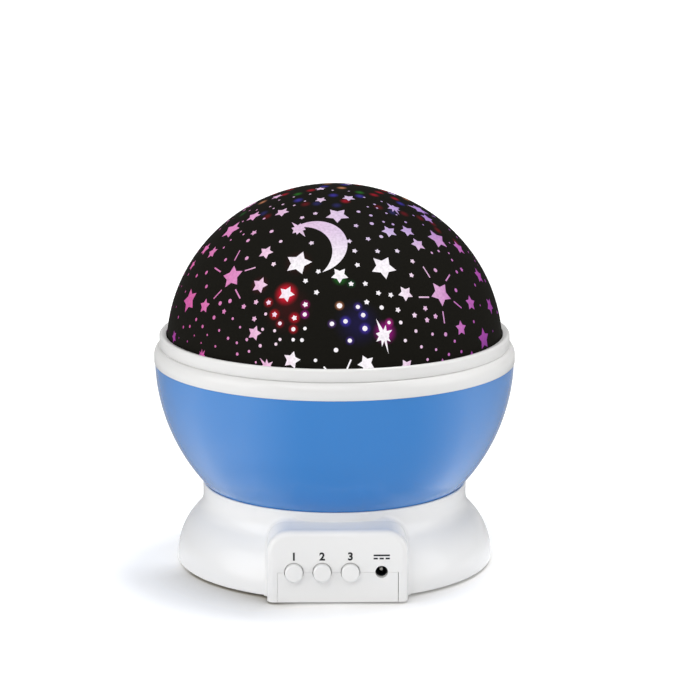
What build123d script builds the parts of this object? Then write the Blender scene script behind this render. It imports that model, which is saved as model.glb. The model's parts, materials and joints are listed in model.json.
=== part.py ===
"""Star night light projector, built from its separate pieces.

A lit dome with star-shaped windows lifts off a bowl that turns on a flared base.
The base holds the push buttons, the power socket, the battery bay and the drive.
Millimetres, +Z up, the control panel faces -Y, the origin lies on the table below the turning axis.
"""

from build123d import *
import os
from math import acos, asin, atan2, cos, degrees, pi, radians, sin, sqrt, tan

# ---------------------------------------------------------------- overall
ring_radius = 62.5       # belt ring, the widest part
overcut = 1.0            # how far a cutter runs past what it cuts
gate_radius = 0.2        # small flat that the moulding gate leaves on top of a dome
same_place = 0.02        # places closer than this count as one

# ---------------------------------------------------------------- clearances
running_gap = 0.1        # radial, a shaft in its bearing
press_gap = 0.02         # radial, a press fit
cover_gap = 0.1          # under the cover where it rests on the belt ring
shell_gap = 0.2          # between two mouldings that meet at an edge
seat_gap = 0.3           # above a face that only steadies a turning part
bowl_gap = 0.4           # between the turning bowl and the rim of the base

# ---------------------------------------------------------------- base, outside
foot_height = 0.8        # how far the rubber feet stand below the base
base_setback = 7.5       # widest circle of the flared base, in from the belt ring
belly_rise = 0.9         # height of the widest circle above the bottom edge
belly_curve = 23.0       # radius of the convex flare
neck_curve = 8.0         # radius of the concave flare under the neck
bottom_round = 0.7       # rounding of the bottom edge
rim_wrap = 3.8           # how far the rim reaches up past the bowl's floor
rim_lip = 0.6            # thickness of the rim at its top edge
housing_wall = 2.0

# ---------------------------------------------------------------- control panel
panel_proud = 2.0        # how far the panel stands in front of the widest circle
panel_width = 47.0
panel_drop = 2.8         # from the rim down to the panel's top
panel_corner = 7.5
panel_round = 2.3
panel_blend = 2.0        # hollow rounding where the panel meets the flare
panel_wall = 2.4
insert_width = 40.5      # lower half of the panel's front, a plate of its own
button_diameter = 6.0
button_gap = 0.25
button_proud = 2.3
button_round = 0.6
button_pitch = 9.4
button_b_x = -5.2
button_travel = 0.8
button_flange_margin = 1.0
button_flange = 1.2
button_stem_radius = 1.8
button_stem = 4.0
socket_x = 14.6
socket_hole_radius = 2.1
control_height = 4.5     # control axis above the board's top face

# ---------------------------------------------------------------- battery bay and base cover
plate_thickness = 2.4
cell_diameter = 10.5
cell_length = 44.5
cell_count = 4
cell_room = 0.4
cell_gap = 0.1           # between neighbouring cells
contact_room = 3.25      # at each end of a cell, for its contact
bay_wall = 1.5
bay_centre_y = 16.0
contact_thickness = 0.4
contact_width = 7.0
contact_height = 8.0
contact_nub_radius = 2.0
contact_nub = 0.8
spring_reach = 2.4
door_thickness = 1.6
door_gap = 0.3
door_lap = 1.4           # how far the door laps over the bay's edge
tab_width = 7.0
tab_reach = 2.5
tab_spread = 30.0
latch_width = 12.0
latch_height = 3.4
latch_thickness = 1.0
foot_radius = 4.0
foot_recess = 0.6
foot_inset = 8.8         # in from the widest circle
foot_turns = [-56.0, 56.0, -135.0, 135.0]        # degrees round from the front
base_screw_inset = 10.9
base_screw_turns = [-74.0, 74.0, -120.0, 120.0]
base_boss_radius = 3.2
base_screw_radius = 1.25
base_screw_head_radius = 2.5
base_screw_head = 1.2
base_screw_length = 9.0

# ---------------------------------------------------------------- deck, hub and drive
wire_room = 1.7
deck_thickness = 2.0
gear_lift = 0.6          # underside of the gear above the deck
gear_thickness = 4.9
gear_module = 0.65
gear_teeth = 42
pinion_teeth = 14
pressure_angle = 20.0
addendum = 0.9           # in modules
dedendum = 1.2           # in modules
backlash = 0.14
pinion_drop = 0.8        # top of the pinion below the bowl's floor
hub_radius = 8.0
wire_bore_radius = 3.0
motor_radius = 9.5
motor_height = 12.0
motor_ear_reach = 13.5
motor_ear_width = 7.0
motor_ear = 1.0
motor_shaft_radius = 1.5
motor_collar_radius = 3.5
motor_screw_radius = 0.8
motor_screw_head_radius = 1.5
motor_screw_head = 0.8
motor_screw_grip = 1.6   # depth of the screw in the deck
motor_screw_inset = 1.9
deck_screw_radius = 0.8
deck_screw_head_radius = 1.5
deck_screw_head = 0.8
deck_screw_grip = 3.0    # depth of the screw in the housing
deck_screw_inset = 1.9
deck_screw_turns = [-85.0, 85.0, -150.0, 150.0]
post_screw_grip = 6.0    # depth of the screw in the lamp post
gear_screw_floor = 1.5   # gear left under the screw
glide_inset = 5.0        # in from the edge of the bowl's flat floor
glide_radius = 3.0
glide_stem_radius = 1.5
glide_count = 3
glide_turn = 60.0        # first stud, degrees round from the front, between the base screws

# ---------------------------------------------------------------- bowl, belt ring and tray
bowl_stretch = 2.05      # bowl's curve, semi-height over its radius
bowl_height = 46.55      # flat floor to top edge
bowl_equator_rise = 1.75 # widest circle above the top edge
bowl_wall = 2.0
bowl_floor_round = 2.0
ring_lip = 0.25          # how far the ring stands proud of the bowl
ring_height = 5.75
ring_straight = 2.6      # upright part of the ring's outside
ring_land = 1.5          # outer edge of the ring's top land, in from the widest
ring_skirt = 4.0         # spigot inside the bowl
tray_seat_height = 0.8   # tray ledge above the bowl's top edge
tray_seat_width = 2.0
tray_thickness = 1.5
tray_fall = 4.5
tray_inner_radius = 25.5
gear_screw_circle = 10.6

# ---------------------------------------------------------------- lamp post and lights
retainer_radius = 12.0
retainer_thickness = 1.5
post_flange_radius = 11.0
post_radius = 9.0
post_wall = 1.8
post_root = 7.0          # solid root that takes the screws
post_top_drop = 5.05     # carrier plate's top below the bowl's top edge
carrier_radius = 24.0
carrier_thickness = 2.0
led_board_radius = 20.0
led_board_thickness = 1.6
led_circle = 11.0
led_radius = 2.5
led_flange_radius = 2.9
led_flange = 1.0
led_dome = 2.4           # rounding of a light's lens
led_height = 8.6
led_turns = {"white": 0.0, "red": -90.0, "green": 180.0, "blue": 90.0}
post_screw_circle = 5.8
post_screw_radius = 1.0
post_screw_head_radius = 1.9
post_screw_head = 1.3
post_screw_count = 3
board_screw_circle = 15.5
board_screw_radius = 1.0
board_screw_length = 3.4
board_screw_turn = 45.0  # degrees round from the front

# ---------------------------------------------------------------- cover
collar_setback = 1.9     # in from the ring's widest
collar_height = 4.5
collar_round = 0.9
collar_crest = 1.1       # inner edge of the crest, in from the collar's outside
collar_fall = 2.4        # how far the inside slopes down from the crest to the dome
collar_lip = 1.3         # how far the collar stands out past its spigot
spigot_depth = 3.15
dome_setback = 2.45      # in from the collar's outside
dome_flattening = 1.95   # dome's curve, semi-height under its radius
dome_drop = 0.8          # dome's lower edge below the seam
mask_thickness = 0.9
diffuser_thickness = 1.0
dome_skin_gap = 0.1
dome_ledge_gap = 0.15

# ---------------------------------------------------------------- windows in the mask
# Places and sizes are degrees of arc on the dome, so the pattern keeps to the dome when it grows.
moon_turn, moon_tilt = -3.5, 48.6        # round from the front, and up
moon_radius = 11.8
moon_bite_radius = 12.2
moon_offset = (-5.8, -0.4)
moon_bite_offset = (-11.2, -3.4)
burst_turn, burst_tilt, burst_spin = -22.5, 55.0, 39.0
burst_radius, burst_root_radius, burst_points = 3.4, 1.9, 8
sparkle_turn, sparkle_tilt, sparkle_spin = 15.7, 15.0, 104.0
sparkle_long, sparkle_short, sparkle_root = 5.4, 2.8, 1.3
star_points = 5
star_root = 0.48                         # inner radius of a star, as a share of its outer one
star_windows = [                         # turn, tilt, radius, spin
    (-17.0, 40.5, 4.5, 9), (20.0, 38.6, 4.8, 53), (1.1, 36.2, 2.9, 53), (1.1, 62.8, 3.6, 52),
    (-34.4, 43.5, 2.7, 9), (-45.8, 32.7, 4.7, 39), (-31.2, 31.2, 2.9, 9), (-19.4, 29.0, 3.0, 71),
    (-70.6, 49.0, 3.9, 29), (-43.6, 62.5, 2.4, 19), (30.9, 52.9, 2.8, 25), (43.0, 52.0, 2.7, 18),
    (43.3, 45.7, 2.8, 21), (59.7, 45.9, 4.0, 6), (26.4, 28.5, 2.7, 42), (42.2, 26.7, 4.5, 40),
    (56.8, 21.2, 2.4, 6), (47.5, 14.1, 2.6, 11), (60.1, 8.3, 3.8, 17), (9.3, 6.4, 2.8, 41),
    (-66.1, 20.9, 4.0, 58), (-54.6, 20.9, 2.3, 26), (-29.2, 15.1, 2.7, 6), (-15.2, 7.4, 2.9, 5),
]

# ---------------------------------------------------------------- control board
board_standoff = 2.3
board_thickness = 1.2
board_width = 40.0
board_back_y = -30.5
switch_width = 6.0
switch_depth = 3.6
switch_height = 7.7
plunger_radius = 1.7
plunger_reach = 2.3
plunger_tail = 1.8
socket_width = 8.0
socket_depth = 11.5
socket_height = 8.4
socket_bore_radius = 1.85
socket_bore_depth = 9.5
socket_pin_radius = 0.65
socket_pin_recess = 0.8

# ---------------------------------------------------------------- levels and places that follow
bowl_radius = ring_radius - ring_lip
bowl_semi_height = bowl_radius + bowl_stretch
ring_land_radius = ring_radius - ring_land
collar_radius = ring_radius - collar_setback
dome_radius = collar_radius - dome_setback
dome_semi_height = dome_radius - dome_flattening
degree_of_arc = dome_radius * pi / 180
base_radius = ring_radius - base_setback
base_z = foot_height
plate_top = base_z + plate_thickness
bay_floor = base_z + door_thickness + door_gap
bay_roof = bay_floor + cell_diameter + cell_room
bay_top = bay_roof + bay_wall
deck_bottom = bay_top + wire_room
deck_top = deck_bottom + deck_thickness
gear_z = deck_top + gear_lift
bowl_floor = gear_z + gear_thickness
bowl_floor_top = bowl_floor + bowl_wall
bowl_top = bowl_floor + bowl_height
bowl_centre = bowl_top + bowl_equator_rise
rim_z = bowl_floor + rim_wrap
seam_z = bowl_top + ring_height
dome_z = seam_z - dome_drop


def ellipse_radius(radius, semi_height, rise):
    """Radius of an ellipsoid of revolution, at a height above or below its centre."""
    return radius * sqrt(max(0.0, 1 - (rise / semi_height) ** 2))


bowl_at_rim = ellipse_radius(bowl_radius, bowl_semi_height, rim_z - bowl_centre)
bowl_floor_radius = ellipse_radius(bowl_radius, bowl_semi_height, bowl_floor - bowl_centre)
glide_circle = bowl_floor_radius - glide_inset
neck_radius = bowl_at_rim + bowl_gap + rim_lip
dish_radius = bowl_floor_radius + bowl_gap
dish_wall_radius = dish_radius + housing_wall

belly_z = base_z + belly_rise
belly_centre_r = base_radius - belly_curve
neck_centre_r = neck_radius + neck_curve
flare_rise = sqrt((belly_curve + neck_curve) ** 2 - (neck_centre_r - belly_centre_r) ** 2)
neck_z = belly_z + flare_rise
flare_angle = atan2(flare_rise, neck_centre_r - belly_centre_r)
cover_radius = base_radius - housing_wall - shell_gap
deck_drop = neck_z - deck_top
deck_radius = neck_centre_r - sqrt((neck_curve + housing_wall) ** 2 - deck_drop ** 2) - shell_gap
deck_screw_top = deck_top + deck_screw_grip

panel_y = -(base_radius + panel_proud)
panel_back_y = panel_y + panel_wall
panel_top = rim_z - panel_drop
board_z = plate_top + board_standoff
board_top = board_z + board_thickness
control_z = board_top + control_height
button_x = [button_b_x + k * button_pitch for k in (-1, 0, 1)]
button_hole_radius = button_diameter / 2 + button_gap
flange_front_y = panel_back_y + shell_gap
flange_back_y = flange_front_y + button_flange
stem_back_y = flange_back_y + button_stem
switch_front_y = stem_back_y + plunger_reach
socket_front_y = panel_back_y + shell_gap

bay_length = cell_length + 2 * contact_room
bay_width = cell_count * (cell_diameter + cell_gap) + cell_room
bay_front_y = bay_centre_y - bay_width / 2
bay_back_y = bay_centre_y + bay_width / 2
pivot_y = bay_back_y + door_thickness / 4
pivot_z = base_z + door_thickness / 2

gear_pitch_radius = gear_module * gear_teeth / 2
pinion_pitch_radius = gear_module * pinion_teeth / 2
shaft_y = -(gear_pitch_radius + pinion_pitch_radius)

retainer_z = bowl_floor_top + seat_gap
post_z = retainer_z + retainer_thickness
carrier_z = bowl_top - post_top_drop - carrier_thickness
led_board_z = carrier_z + carrier_thickness
led_z = led_board_z + led_board_thickness

skirt_rise = ring_skirt + bowl_equator_rise
skirt_radius = ellipse_radius(bowl_radius, bowl_semi_height, skirt_rise) - bowl_wall - shell_gap
tray_seat_z = bowl_top + tray_seat_height
collar_inner_radius = dome_radius + dome_ledge_gap
spigot_radius = collar_radius - collar_lip
ring_socket_radius = spigot_radius + shell_gap
tray_radius = ring_socket_radius - shell_gap
diffuser_inset = mask_thickness + dome_skin_gap
collar_bore_radius = dome_radius - diffuser_inset - diffuser_thickness


# ---------------------------------------------------------------- helpers
def outline(*points):
    """A closed outline through (radius, height) points."""
    return make_face(Polyline(*points, close=True))


def turned(profile):
    """A solid turned about the Z axis from a face drawn in (radius, height)."""
    return revolve(Plane.XZ * profile, Axis.Z)


def rod(radius, low, high, x=0.0, y=0.0):
    """An upright cylinder between two heights."""
    return Pos(x, y, (low + high) / 2) * Cylinder(radius, high - low)


def rod_y(radius, front, back, x, z):
    """A cylinder along Y between two places."""
    return Pos(x, (front + back) / 2, z) * Rot(90, 0, 0) * Cylinder(radius, back - front)


def block(x0, x1, y0, y1, z0, z1):
    """A box between its low and high corners."""
    return Pos((x0 + x1) / 2, (y0 + y1) / 2, (z0 + z1) / 2) * Box(x1 - x0, y1 - y0, z1 - z0)


def spot(radius, turn):
    """A place on a circle about the axis, at a turn in degrees round from the front."""
    return (radius * sin(radians(turn)), -radius * cos(radians(turn)))


def around(count, radius, first=0.0):
    """Evenly spaced places on a circle about the axis, the first at a turn from the front."""
    return [spot(radius, first + 360.0 * k / count) for k in range(count)]


def foot_places():
    """Centres of the rubber feet."""
    return [spot(base_radius - foot_inset, turn) for turn in foot_turns]


def base_screw_places():
    """Centres of the screws that hold the base cover."""
    return [spot(base_radius - base_screw_inset, turn) for turn in base_screw_turns]


def ellipsoid_cap(radius, semi_height, centre_z, low, high):
    """The solid of an ellipsoid of revolution between two heights, or up to the gate's flat on top."""
    gate_angle = degrees(acos(gate_radius / radius))
    start = degrees(asin((low - centre_z) / semi_height))
    end = min(gate_angle, degrees(asin(min(1.0, (high - centre_z) / semi_height))))
    arc = EllipticalCenterArc((0, centre_z), radius, semi_height, start, arc_size=end - start)
    foot, head = arc @ 0, arc @ 1
    return turned(make_face([arc, Polyline(foot, (0, foot.Y), (0, head.Y), head)]))


# ---------------------------------------------------------------- base housing
def flare(inset, low, high):
    """The solid inside the flared side of the base, taken in by the inset."""
    belly = belly_curve - inset
    neck = neck_curve + inset
    side = neck_radius - inset
    top = max(neck_z, high)
    meet = (belly_centre_r + belly * cos(flare_angle), belly_z + belly * sin(flare_angle))
    belly_mid = (belly_centre_r + belly * cos(flare_angle / 2), belly_z + belly * sin(flare_angle / 2))
    turn = (pi + flare_angle + pi) / 2
    neck_mid = (neck_centre_r + neck * cos(turn), neck_z + neck * sin(turn))
    edges = [
        Line((0, low), (belly_centre_r + belly, low)),
        Line((belly_centre_r + belly, low), (belly_centre_r + belly, belly_z)),
        ThreePointArc((belly_centre_r + belly, belly_z), belly_mid, meet),
        ThreePointArc(meet, neck_mid, (side, neck_z)),
        Line((side, neck_z), (side, top + overcut)),
        Line((side, top + overcut), (0, top + overcut)),
        Line((0, top + overcut), (0, low)),
    ]
    return turned(make_face(edges)) & rod(2 * base_radius, low, high)


def arch(half_width, top, low, corner, y0, y1):
    """The panel's arch, a block with two rounded upper corners."""
    sketch = Pos(0, (top + low) / 2) * Rectangle(2 * half_width, top - low)
    corners = sketch.vertices().sort_by(Axis.Y)[-2:]
    face = Plane.XZ * fillet(corners, corner)
    return Pos(0, y1, 0) * extrude(face, y1 - y0)


def meeting_edges(body):
    """Edges where the panel's sides and top run into the flared side."""
    found = []
    for edge in body.edges():
        box = edge.bounding_box()
        behind_front = box.min.Y > panel_y + panel_round + same_place
        before_neck = box.max.Y < panel_corner - neck_radius
        within_panel = max(box.max.X, -box.min.X) < panel_width / 2 + same_place
        straight_back = box.size.X + box.size.Z < same_place
        if behind_front and before_neck and within_panel and not straight_back:
            found.append(edge)
    return found


def panel_holes():
    """Round holes for the buttons and the power plug, through the panel's wall."""
    front, back = panel_y - overcut, panel_back_y + overcut
    holes = rod_y(socket_hole_radius, front, back, socket_x, control_z)
    for x in button_x:
        holes += rod_y(button_hole_radius, front, back, x, control_z)
    return holes


def motor_screw_places():
    """Where the two screws hold the motor's ears."""
    reach = motor_ear_reach - motor_screw_inset
    return [(-reach, shaft_y), (reach, shaft_y)]


def panel_window():
    """Opening in the lower half of the panel, filled by the insert."""
    half = insert_width / 2
    return block(-half, half, panel_y - overcut, panel_back_y + overcut, base_z - overcut, control_z)


def control_panel(back_y):
    """The panel's arch with its rounded front edge, back to a given place."""
    panel = arch(panel_width / 2, panel_top, base_z, panel_corner, panel_y, back_y)
    front_edges = panel.faces().sort_by(Axis.Y)[0].edges().sort_by(Axis.Z)[1:]
    return fillet(front_edges, panel_round)


def panel_face():
    """Front plate of the panel, which leaves its lower half to the insert."""
    return control_panel(panel_back_y) - panel_window() - panel_holes()


def base_housing():
    """Flared shell with the neck, the dish for the bowl, the screw bosses and the panel's sides."""
    body = flare(0, base_z, rim_z)
    body = fillet(body.edges().group_by(Axis.Z)[0], bottom_round)
    half = panel_width / 2
    body = fillet(meeting_edges(body + control_panel(-neck_radius / 2)), panel_blend)
    body -= block(-base_radius, base_radius, panel_y - overcut, panel_back_y, base_z - overcut, rim_z)

    dish = ellipsoid_cap(
        bowl_radius + bowl_gap, bowl_semi_height + bowl_gap, bowl_centre, bowl_floor, rim_z + overcut
    ) + rod(dish_radius, deck_top, bowl_floor)
    inside = flare(housing_wall, base_z - overcut, deck_top)
    pocket = arch(
        half - panel_wall, panel_top - panel_wall, base_z - overcut, panel_corner - panel_wall,
        panel_back_y, -neck_radius / 2,
    )
    pocket -= rod(dish_wall_radius, deck_top, rim_z)
    body = body - dish - inside - pocket

    for x, y in base_screw_places():
        body += rod(base_boss_radius, plate_top, deck_top, x, y)
        hole_top = plate_top + base_screw_length
        body -= rod(base_screw_radius + running_gap, plate_top - overcut, hole_top, x, y)
    hole_top = deck_screw_top + running_gap
    for x, y in deck_screw_places():
        body -= rod(deck_screw_radius + running_gap / 2, deck_top - overcut, hole_top, x, y)
    return body


def deck_plate():
    """Plate under the bowl with the hub, which carries the motor and the glide studs."""
    plate = rod(deck_radius, deck_bottom, deck_top)
    plate += rod(hub_radius, deck_bottom, retainer_z)
    plate -= rod(wire_bore_radius, deck_bottom - overcut, retainer_z + overcut)
    head_seat = deck_bottom + post_screw_head
    for x, y in base_screw_places():
        plate -= rod(base_boss_radius + shell_gap, deck_bottom - overcut, deck_top + overcut, x, y)
    for x, y in deck_screw_places():
        plate -= rod(deck_screw_radius + running_gap, deck_bottom - overcut, deck_top + overcut, x, y)
    for x, y in around(post_screw_count, post_screw_circle):
        plate -= rod(post_screw_radius + running_gap, deck_bottom, retainer_z + overcut, x, y)
        plate -= rod(post_screw_head_radius + running_gap, deck_bottom - overcut, head_seat, x, y)
    plate -= rod(motor_collar_radius + shell_gap, deck_bottom - overcut, deck_top + overcut, 0, shaft_y)
    grip_top = deck_bottom + motor_screw_grip + running_gap
    for x, y in motor_screw_places():
        plate -= rod(motor_screw_radius + running_gap / 2, deck_bottom - overcut, grip_top, x, y)
    for x, y in around(glide_count, glide_circle, glide_turn):
        plate -= rod(glide_stem_radius + running_gap, deck_bottom - overcut, deck_top + overcut, x, y)
    return plate


def deck_screw_places():
    """Where screws hold the deck plate up against the housing's shelf."""
    return [spot(deck_radius - deck_screw_inset, turn) for turn in deck_screw_turns]


def deck_screws():
    """Screws from below, through the deck plate into the housing."""
    screw = rod(deck_screw_head_radius, deck_bottom - deck_screw_head, deck_bottom)
    screw += rod(deck_screw_radius, deck_bottom, deck_screw_top)
    return [Pos(x, y, 0) * screw for x, y in deck_screw_places()]


def post_screws():
    """Screws from under the deck, through the hub and the retainer into the lamp post."""
    under = deck_bottom + post_screw_head
    screw = rod(post_screw_head_radius, deck_bottom, under)
    screw += rod(post_screw_radius, under, post_z + post_screw_grip)
    return [Pos(x, y, 0) * screw for x, y in around(post_screw_count, post_screw_circle)]


def glide_pads():
    """Low-friction studs in the deck that steady the bowl's floor."""
    top = bowl_floor - seat_gap
    pad = rod(glide_radius, deck_top, top)
    pad = fillet(pad.edges().group_by(Axis.Z)[-1], glide_radius / 3)
    pad += rod(glide_stem_radius, deck_bottom, deck_top)
    return [Pos(x, y, 0) * pad for x, y in around(glide_count, glide_circle, glide_turn)]


# ---------------------------------------------------------------- base cover and battery door
def door_room():
    """Space the battery door needs: its recess, the pockets of its tabs and the latch's window."""
    lap_x = bay_length / 2 + door_lap
    back = pivot_y + door_thickness / 2 + door_gap
    room = block(-lap_x, lap_x, bay_front_y - door_lap, back, base_z - overcut, bay_floor)
    for x in (-tab_spread / 2, tab_spread / 2):
        pocket = Cylinder(tab_reach + 2 * door_gap, tab_width + 2 * door_gap)
        pocket = Pos(x, pivot_y, pivot_z) * Rot(0, 90, 0) * pocket
        lip = block(x - tab_width, x + tab_width, back, back + 2 * tab_reach, 0, pivot_z - door_gap)
        room += pocket - lip
    catch = latch_width / 2 + door_gap
    catch_top = bay_floor + latch_height + door_gap
    room += block(-catch, catch, bay_front_y - bay_wall, bay_front_y + overcut, base_z - overcut, catch_top)
    return room


def battery_box():
    """Box over the cells, open below, fixed on the base cover."""
    outer_x = bay_length / 2 + bay_wall
    box = block(-outer_x, outer_x, bay_front_y - bay_wall, bay_back_y + bay_wall, plate_top, bay_top)
    box -= block(-bay_length / 2, bay_length / 2, bay_front_y, bay_back_y, plate_top - overcut, bay_roof)
    return box - door_room()


def base_cover():
    """Bottom plate with the battery opening and a tongue under the control board."""
    half = insert_width / 2 - shell_gap
    tongue = panel_width / 2 - panel_wall - shell_gap
    plate = rod(cover_radius, base_z, plate_top)
    plate += block(-tongue, tongue, panel_back_y + shell_gap, 0, base_z, plate_top)
    plate += block(-half, half, panel_back_y, 0, base_z, plate_top)
    half_bay = bay_length / 2
    plate -= block(-half_bay, half_bay, bay_front_y, bay_back_y, base_z - overcut, plate_top + overcut)
    plate -= door_room()

    for x, y in foot_places():
        plate -= rod(foot_radius + running_gap, base_z - overcut, base_z + foot_recess, x, y)
    for x, y in base_screw_places():
        plate -= rod(base_screw_radius + shell_gap, base_z - overcut, plate_top + overcut, x, y)
        plate -= rod(base_screw_head_radius + shell_gap, base_z - overcut, base_z + base_screw_head, x, y)
    for x in (-board_width / 3, board_width / 3):
        plate += rod(base_boss_radius, plate_top, board_z, x, board_back_y - base_boss_radius)
    return plate


def panel_insert():
    """Lower half of the panel's front."""
    half = insert_width / 2 - shell_gap
    return block(-half, half, panel_y, panel_back_y, base_z, control_z - shell_gap) - panel_holes()


def cell_places():
    """Centre line of each cell, with the side (+1 or -1) its positive end faces."""
    pitch = bay_width / cell_count
    return [(bay_front_y + pitch * (k + 0.5), (-1) ** k) for k in range(cell_count)]


def positive_contacts():
    """Plates with a round nub, one for each cell's positive end."""
    z = bay_roof - cell_room - cell_diameter / 2
    wall = bay_length / 2
    plates = []
    for y, side in cell_places():
        plate = Box(contact_thickness, contact_width, contact_height)
        plate = Pos(wall - contact_thickness / 2, 0, 0) * plate
        nub = Pos(wall - contact_thickness - contact_nub / 2, 0, 0) * Rot(0, 90, 0)
        plate += nub * Cylinder(contact_nub_radius, contact_nub)
        plates.append(Pos(0, y, z) * Rot(0, 0, 0 if side > 0 else 180) * plate)
    return plates


def negative_contacts():
    """Plates with a bent spring leaf, one for each cell's negative end."""
    z = bay_roof - cell_room - cell_diameter / 2
    wall = bay_length / 2 - contact_thickness
    low, high = -contact_height / 2, contact_height / 2
    end = wall - contact_thickness
    leaf = outline(
        (wall, low), (wall, low + contact_thickness), (wall - spring_reach, 0), (end, high / 2),
        (end - contact_thickness, high / 2), (wall - spring_reach - contact_thickness, 0), (end, low),
    )
    strip = extrude(Plane.XZ * leaf, contact_width / 4, both=True)
    strip += Pos(wall + contact_thickness / 2, 0, 0) * Box(contact_thickness, contact_width, contact_height)
    return [Pos(0, y, z) * Rot(0, 0, 180 if side > 0 else 0) * strip for y, side in cell_places()]


def rubber_feet():
    """Four feet pressed into recesses in the cover."""
    foot = rod(foot_radius, 0, base_z + foot_recess)
    foot = fillet(foot.edges().group_by(Axis.Z)[0], foot_height / 2)
    return [Pos(x, y, 0) * foot for x, y in foot_places()]


def base_screws():
    """Screws that hold the cover to the housing."""
    under = base_z + base_screw_head
    screw = rod(base_screw_head_radius, base_z, under)
    screw += rod(base_screw_radius, under, plate_top + base_screw_length - overcut)
    return [Pos(x, y, 0) * screw for x, y in base_screw_places()]


def battery_door():
    """Door of the battery bay, with two pivot tabs behind and a snap latch in front."""
    half_x = bay_length / 2 + door_lap - door_gap
    front = bay_front_y - door_lap + door_gap
    top = base_z + door_thickness
    door = block(-half_x, half_x, front, pivot_y, base_z, top)
    door += Pos(0, pivot_y, pivot_z) * Rot(0, 90, 0) * Cylinder(door_thickness / 2, 2 * half_x)
    for x in (-tab_spread / 2, tab_spread / 2):
        door += block(x - tab_width / 2, x + tab_width / 2, pivot_y, pivot_y + tab_reach, pivot_z, top)
    latch_back = bay_front_y - door_gap
    door += block(
        -latch_width / 2, latch_width / 2, latch_back - latch_thickness, latch_back,
        top, bay_floor + latch_height,
    )
    return door


# ---------------------------------------------------------------- controls
def control_board():
    """Circuit board behind the panel."""
    return block(-board_width / 2, board_width / 2, flange_back_y, board_back_y, board_z, board_top)


def switch_bodies():
    """Three push switches on the board."""
    bodies = []
    for x in button_x:
        body = block(
            x - switch_width / 2, x + switch_width / 2, switch_front_y, switch_front_y + switch_depth,
            board_top, board_top + switch_height,
        )
        bore_back = switch_front_y + plunger_tail + button_travel + seat_gap
        bore_front = switch_front_y - overcut
        bodies.append(body - rod_y(plunger_radius + running_gap, bore_front, bore_back, x, control_z))
    return bodies


def switch_plunger(x):
    """The moving stem of one switch."""
    return rod_y(plunger_radius, stem_back_y, switch_front_y + plunger_tail, x, control_z)


def button(x):
    """One push button, with the flange that keeps it behind the panel."""
    face_y = panel_y - button_proud
    cap = rod_y(button_diameter / 2, face_y, flange_front_y, x, control_z)
    cap = fillet(cap.edges().sort_by(Axis.Y)[0], button_round)
    cap += rod_y(button_diameter / 2 + button_flange_margin, flange_front_y, flange_back_y, x, control_z)
    cap += rod_y(button_stem_radius, flange_back_y, stem_back_y, x, control_z)
    return cap


def power_socket():
    """Moulded body of the power socket."""
    bore_end = socket_front_y + socket_bore_depth
    body = block(
        socket_x - socket_width / 2, socket_x + socket_width / 2,
        socket_front_y, socket_front_y + socket_depth, board_top, board_top + socket_height,
    )
    return body - rod_y(socket_bore_radius, socket_front_y - overcut, bore_end, socket_x, control_z)


def socket_pin():
    """Centre contact of the power socket."""
    front, back = socket_front_y + socket_pin_recess, socket_front_y + socket_bore_depth
    pin = rod_y(socket_pin_radius, front, back, socket_x, control_z)
    return fillet(pin.edges().sort_by(Axis.Y)[0], socket_pin_radius / 2)


# ---------------------------------------------------------------- drive
def gear_outline(teeth):
    """Outline of a spur gear with involute flanks, one tooth centred on +X."""
    pitch = gear_module * teeth / 2
    base = pitch * cos(radians(pressure_angle))
    tip = pitch + addendum * gear_module
    root = pitch - dedendum * gear_module

    def involute(radius):
        pressure = acos(min(1.0, base / radius))
        return tan(pressure) - pressure

    half_pitch = pi / (2 * teeth) - backlash / (4 * pitch) + involute(pitch)
    start = max(base, root)
    flank_radii = [start + (tip - start) * k / 3 for k in range(4)]
    flank = [(r, half_pitch - involute(r)) for r in flank_radii]
    if root < base:
        flank.insert(0, (root, half_pitch))
    points = []
    for k in range(teeth):
        turn = 2 * pi * k / teeth
        points += [(r * cos(turn - a), r * sin(turn - a)) for r, a in flank]
        points += [(r * cos(turn + a), r * sin(turn + a)) for r, a in reversed(flank)]
    return make_face(Polyline(*points, close=True))


def bowl_gear():
    """Large gear under the bowl, which also carries the hub bearing."""
    disc = Pos(0, 0, gear_z) * Rot(0, 0, -90) * extrude(gear_outline(gear_teeth), gear_thickness)
    disc -= rod(hub_radius + running_gap, gear_z - overcut, bowl_floor + overcut)
    for x, y in around(post_screw_count, gear_screw_circle):
        hole_floor = gear_z + gear_screw_floor - running_gap
        disc -= rod(post_screw_radius + running_gap, hole_floor, bowl_floor + overcut, x, y)
    return disc


def gear_screws():
    """Screws through the bowl's floor into the gear."""
    screw = rod(post_screw_head_radius, bowl_floor_top - post_screw_head, bowl_floor_top)
    screw += rod(post_screw_radius, gear_z + gear_screw_floor, bowl_floor_top - post_screw_head)
    return [Pos(x, y, 0) * screw for x, y in around(post_screw_count, gear_screw_circle)]


def drive_pinion():
    """Small gear on the motor's shaft."""
    bottom, top = deck_top + gear_lift, bowl_floor - pinion_drop
    turn = 90 + 180.0 / pinion_teeth
    gear = Pos(0, shaft_y, bottom) * Rot(0, 0, turn) * extrude(gear_outline(pinion_teeth), top - bottom)
    return gear - rod(motor_shaft_radius + press_gap, bottom - overcut, top + overcut, 0, shaft_y)


def motor_shaft():
    """Output shaft of the geared motor."""
    return rod(motor_shaft_radius, deck_bottom - motor_height / 2, bowl_floor - pinion_drop, 0, shaft_y)


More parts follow.
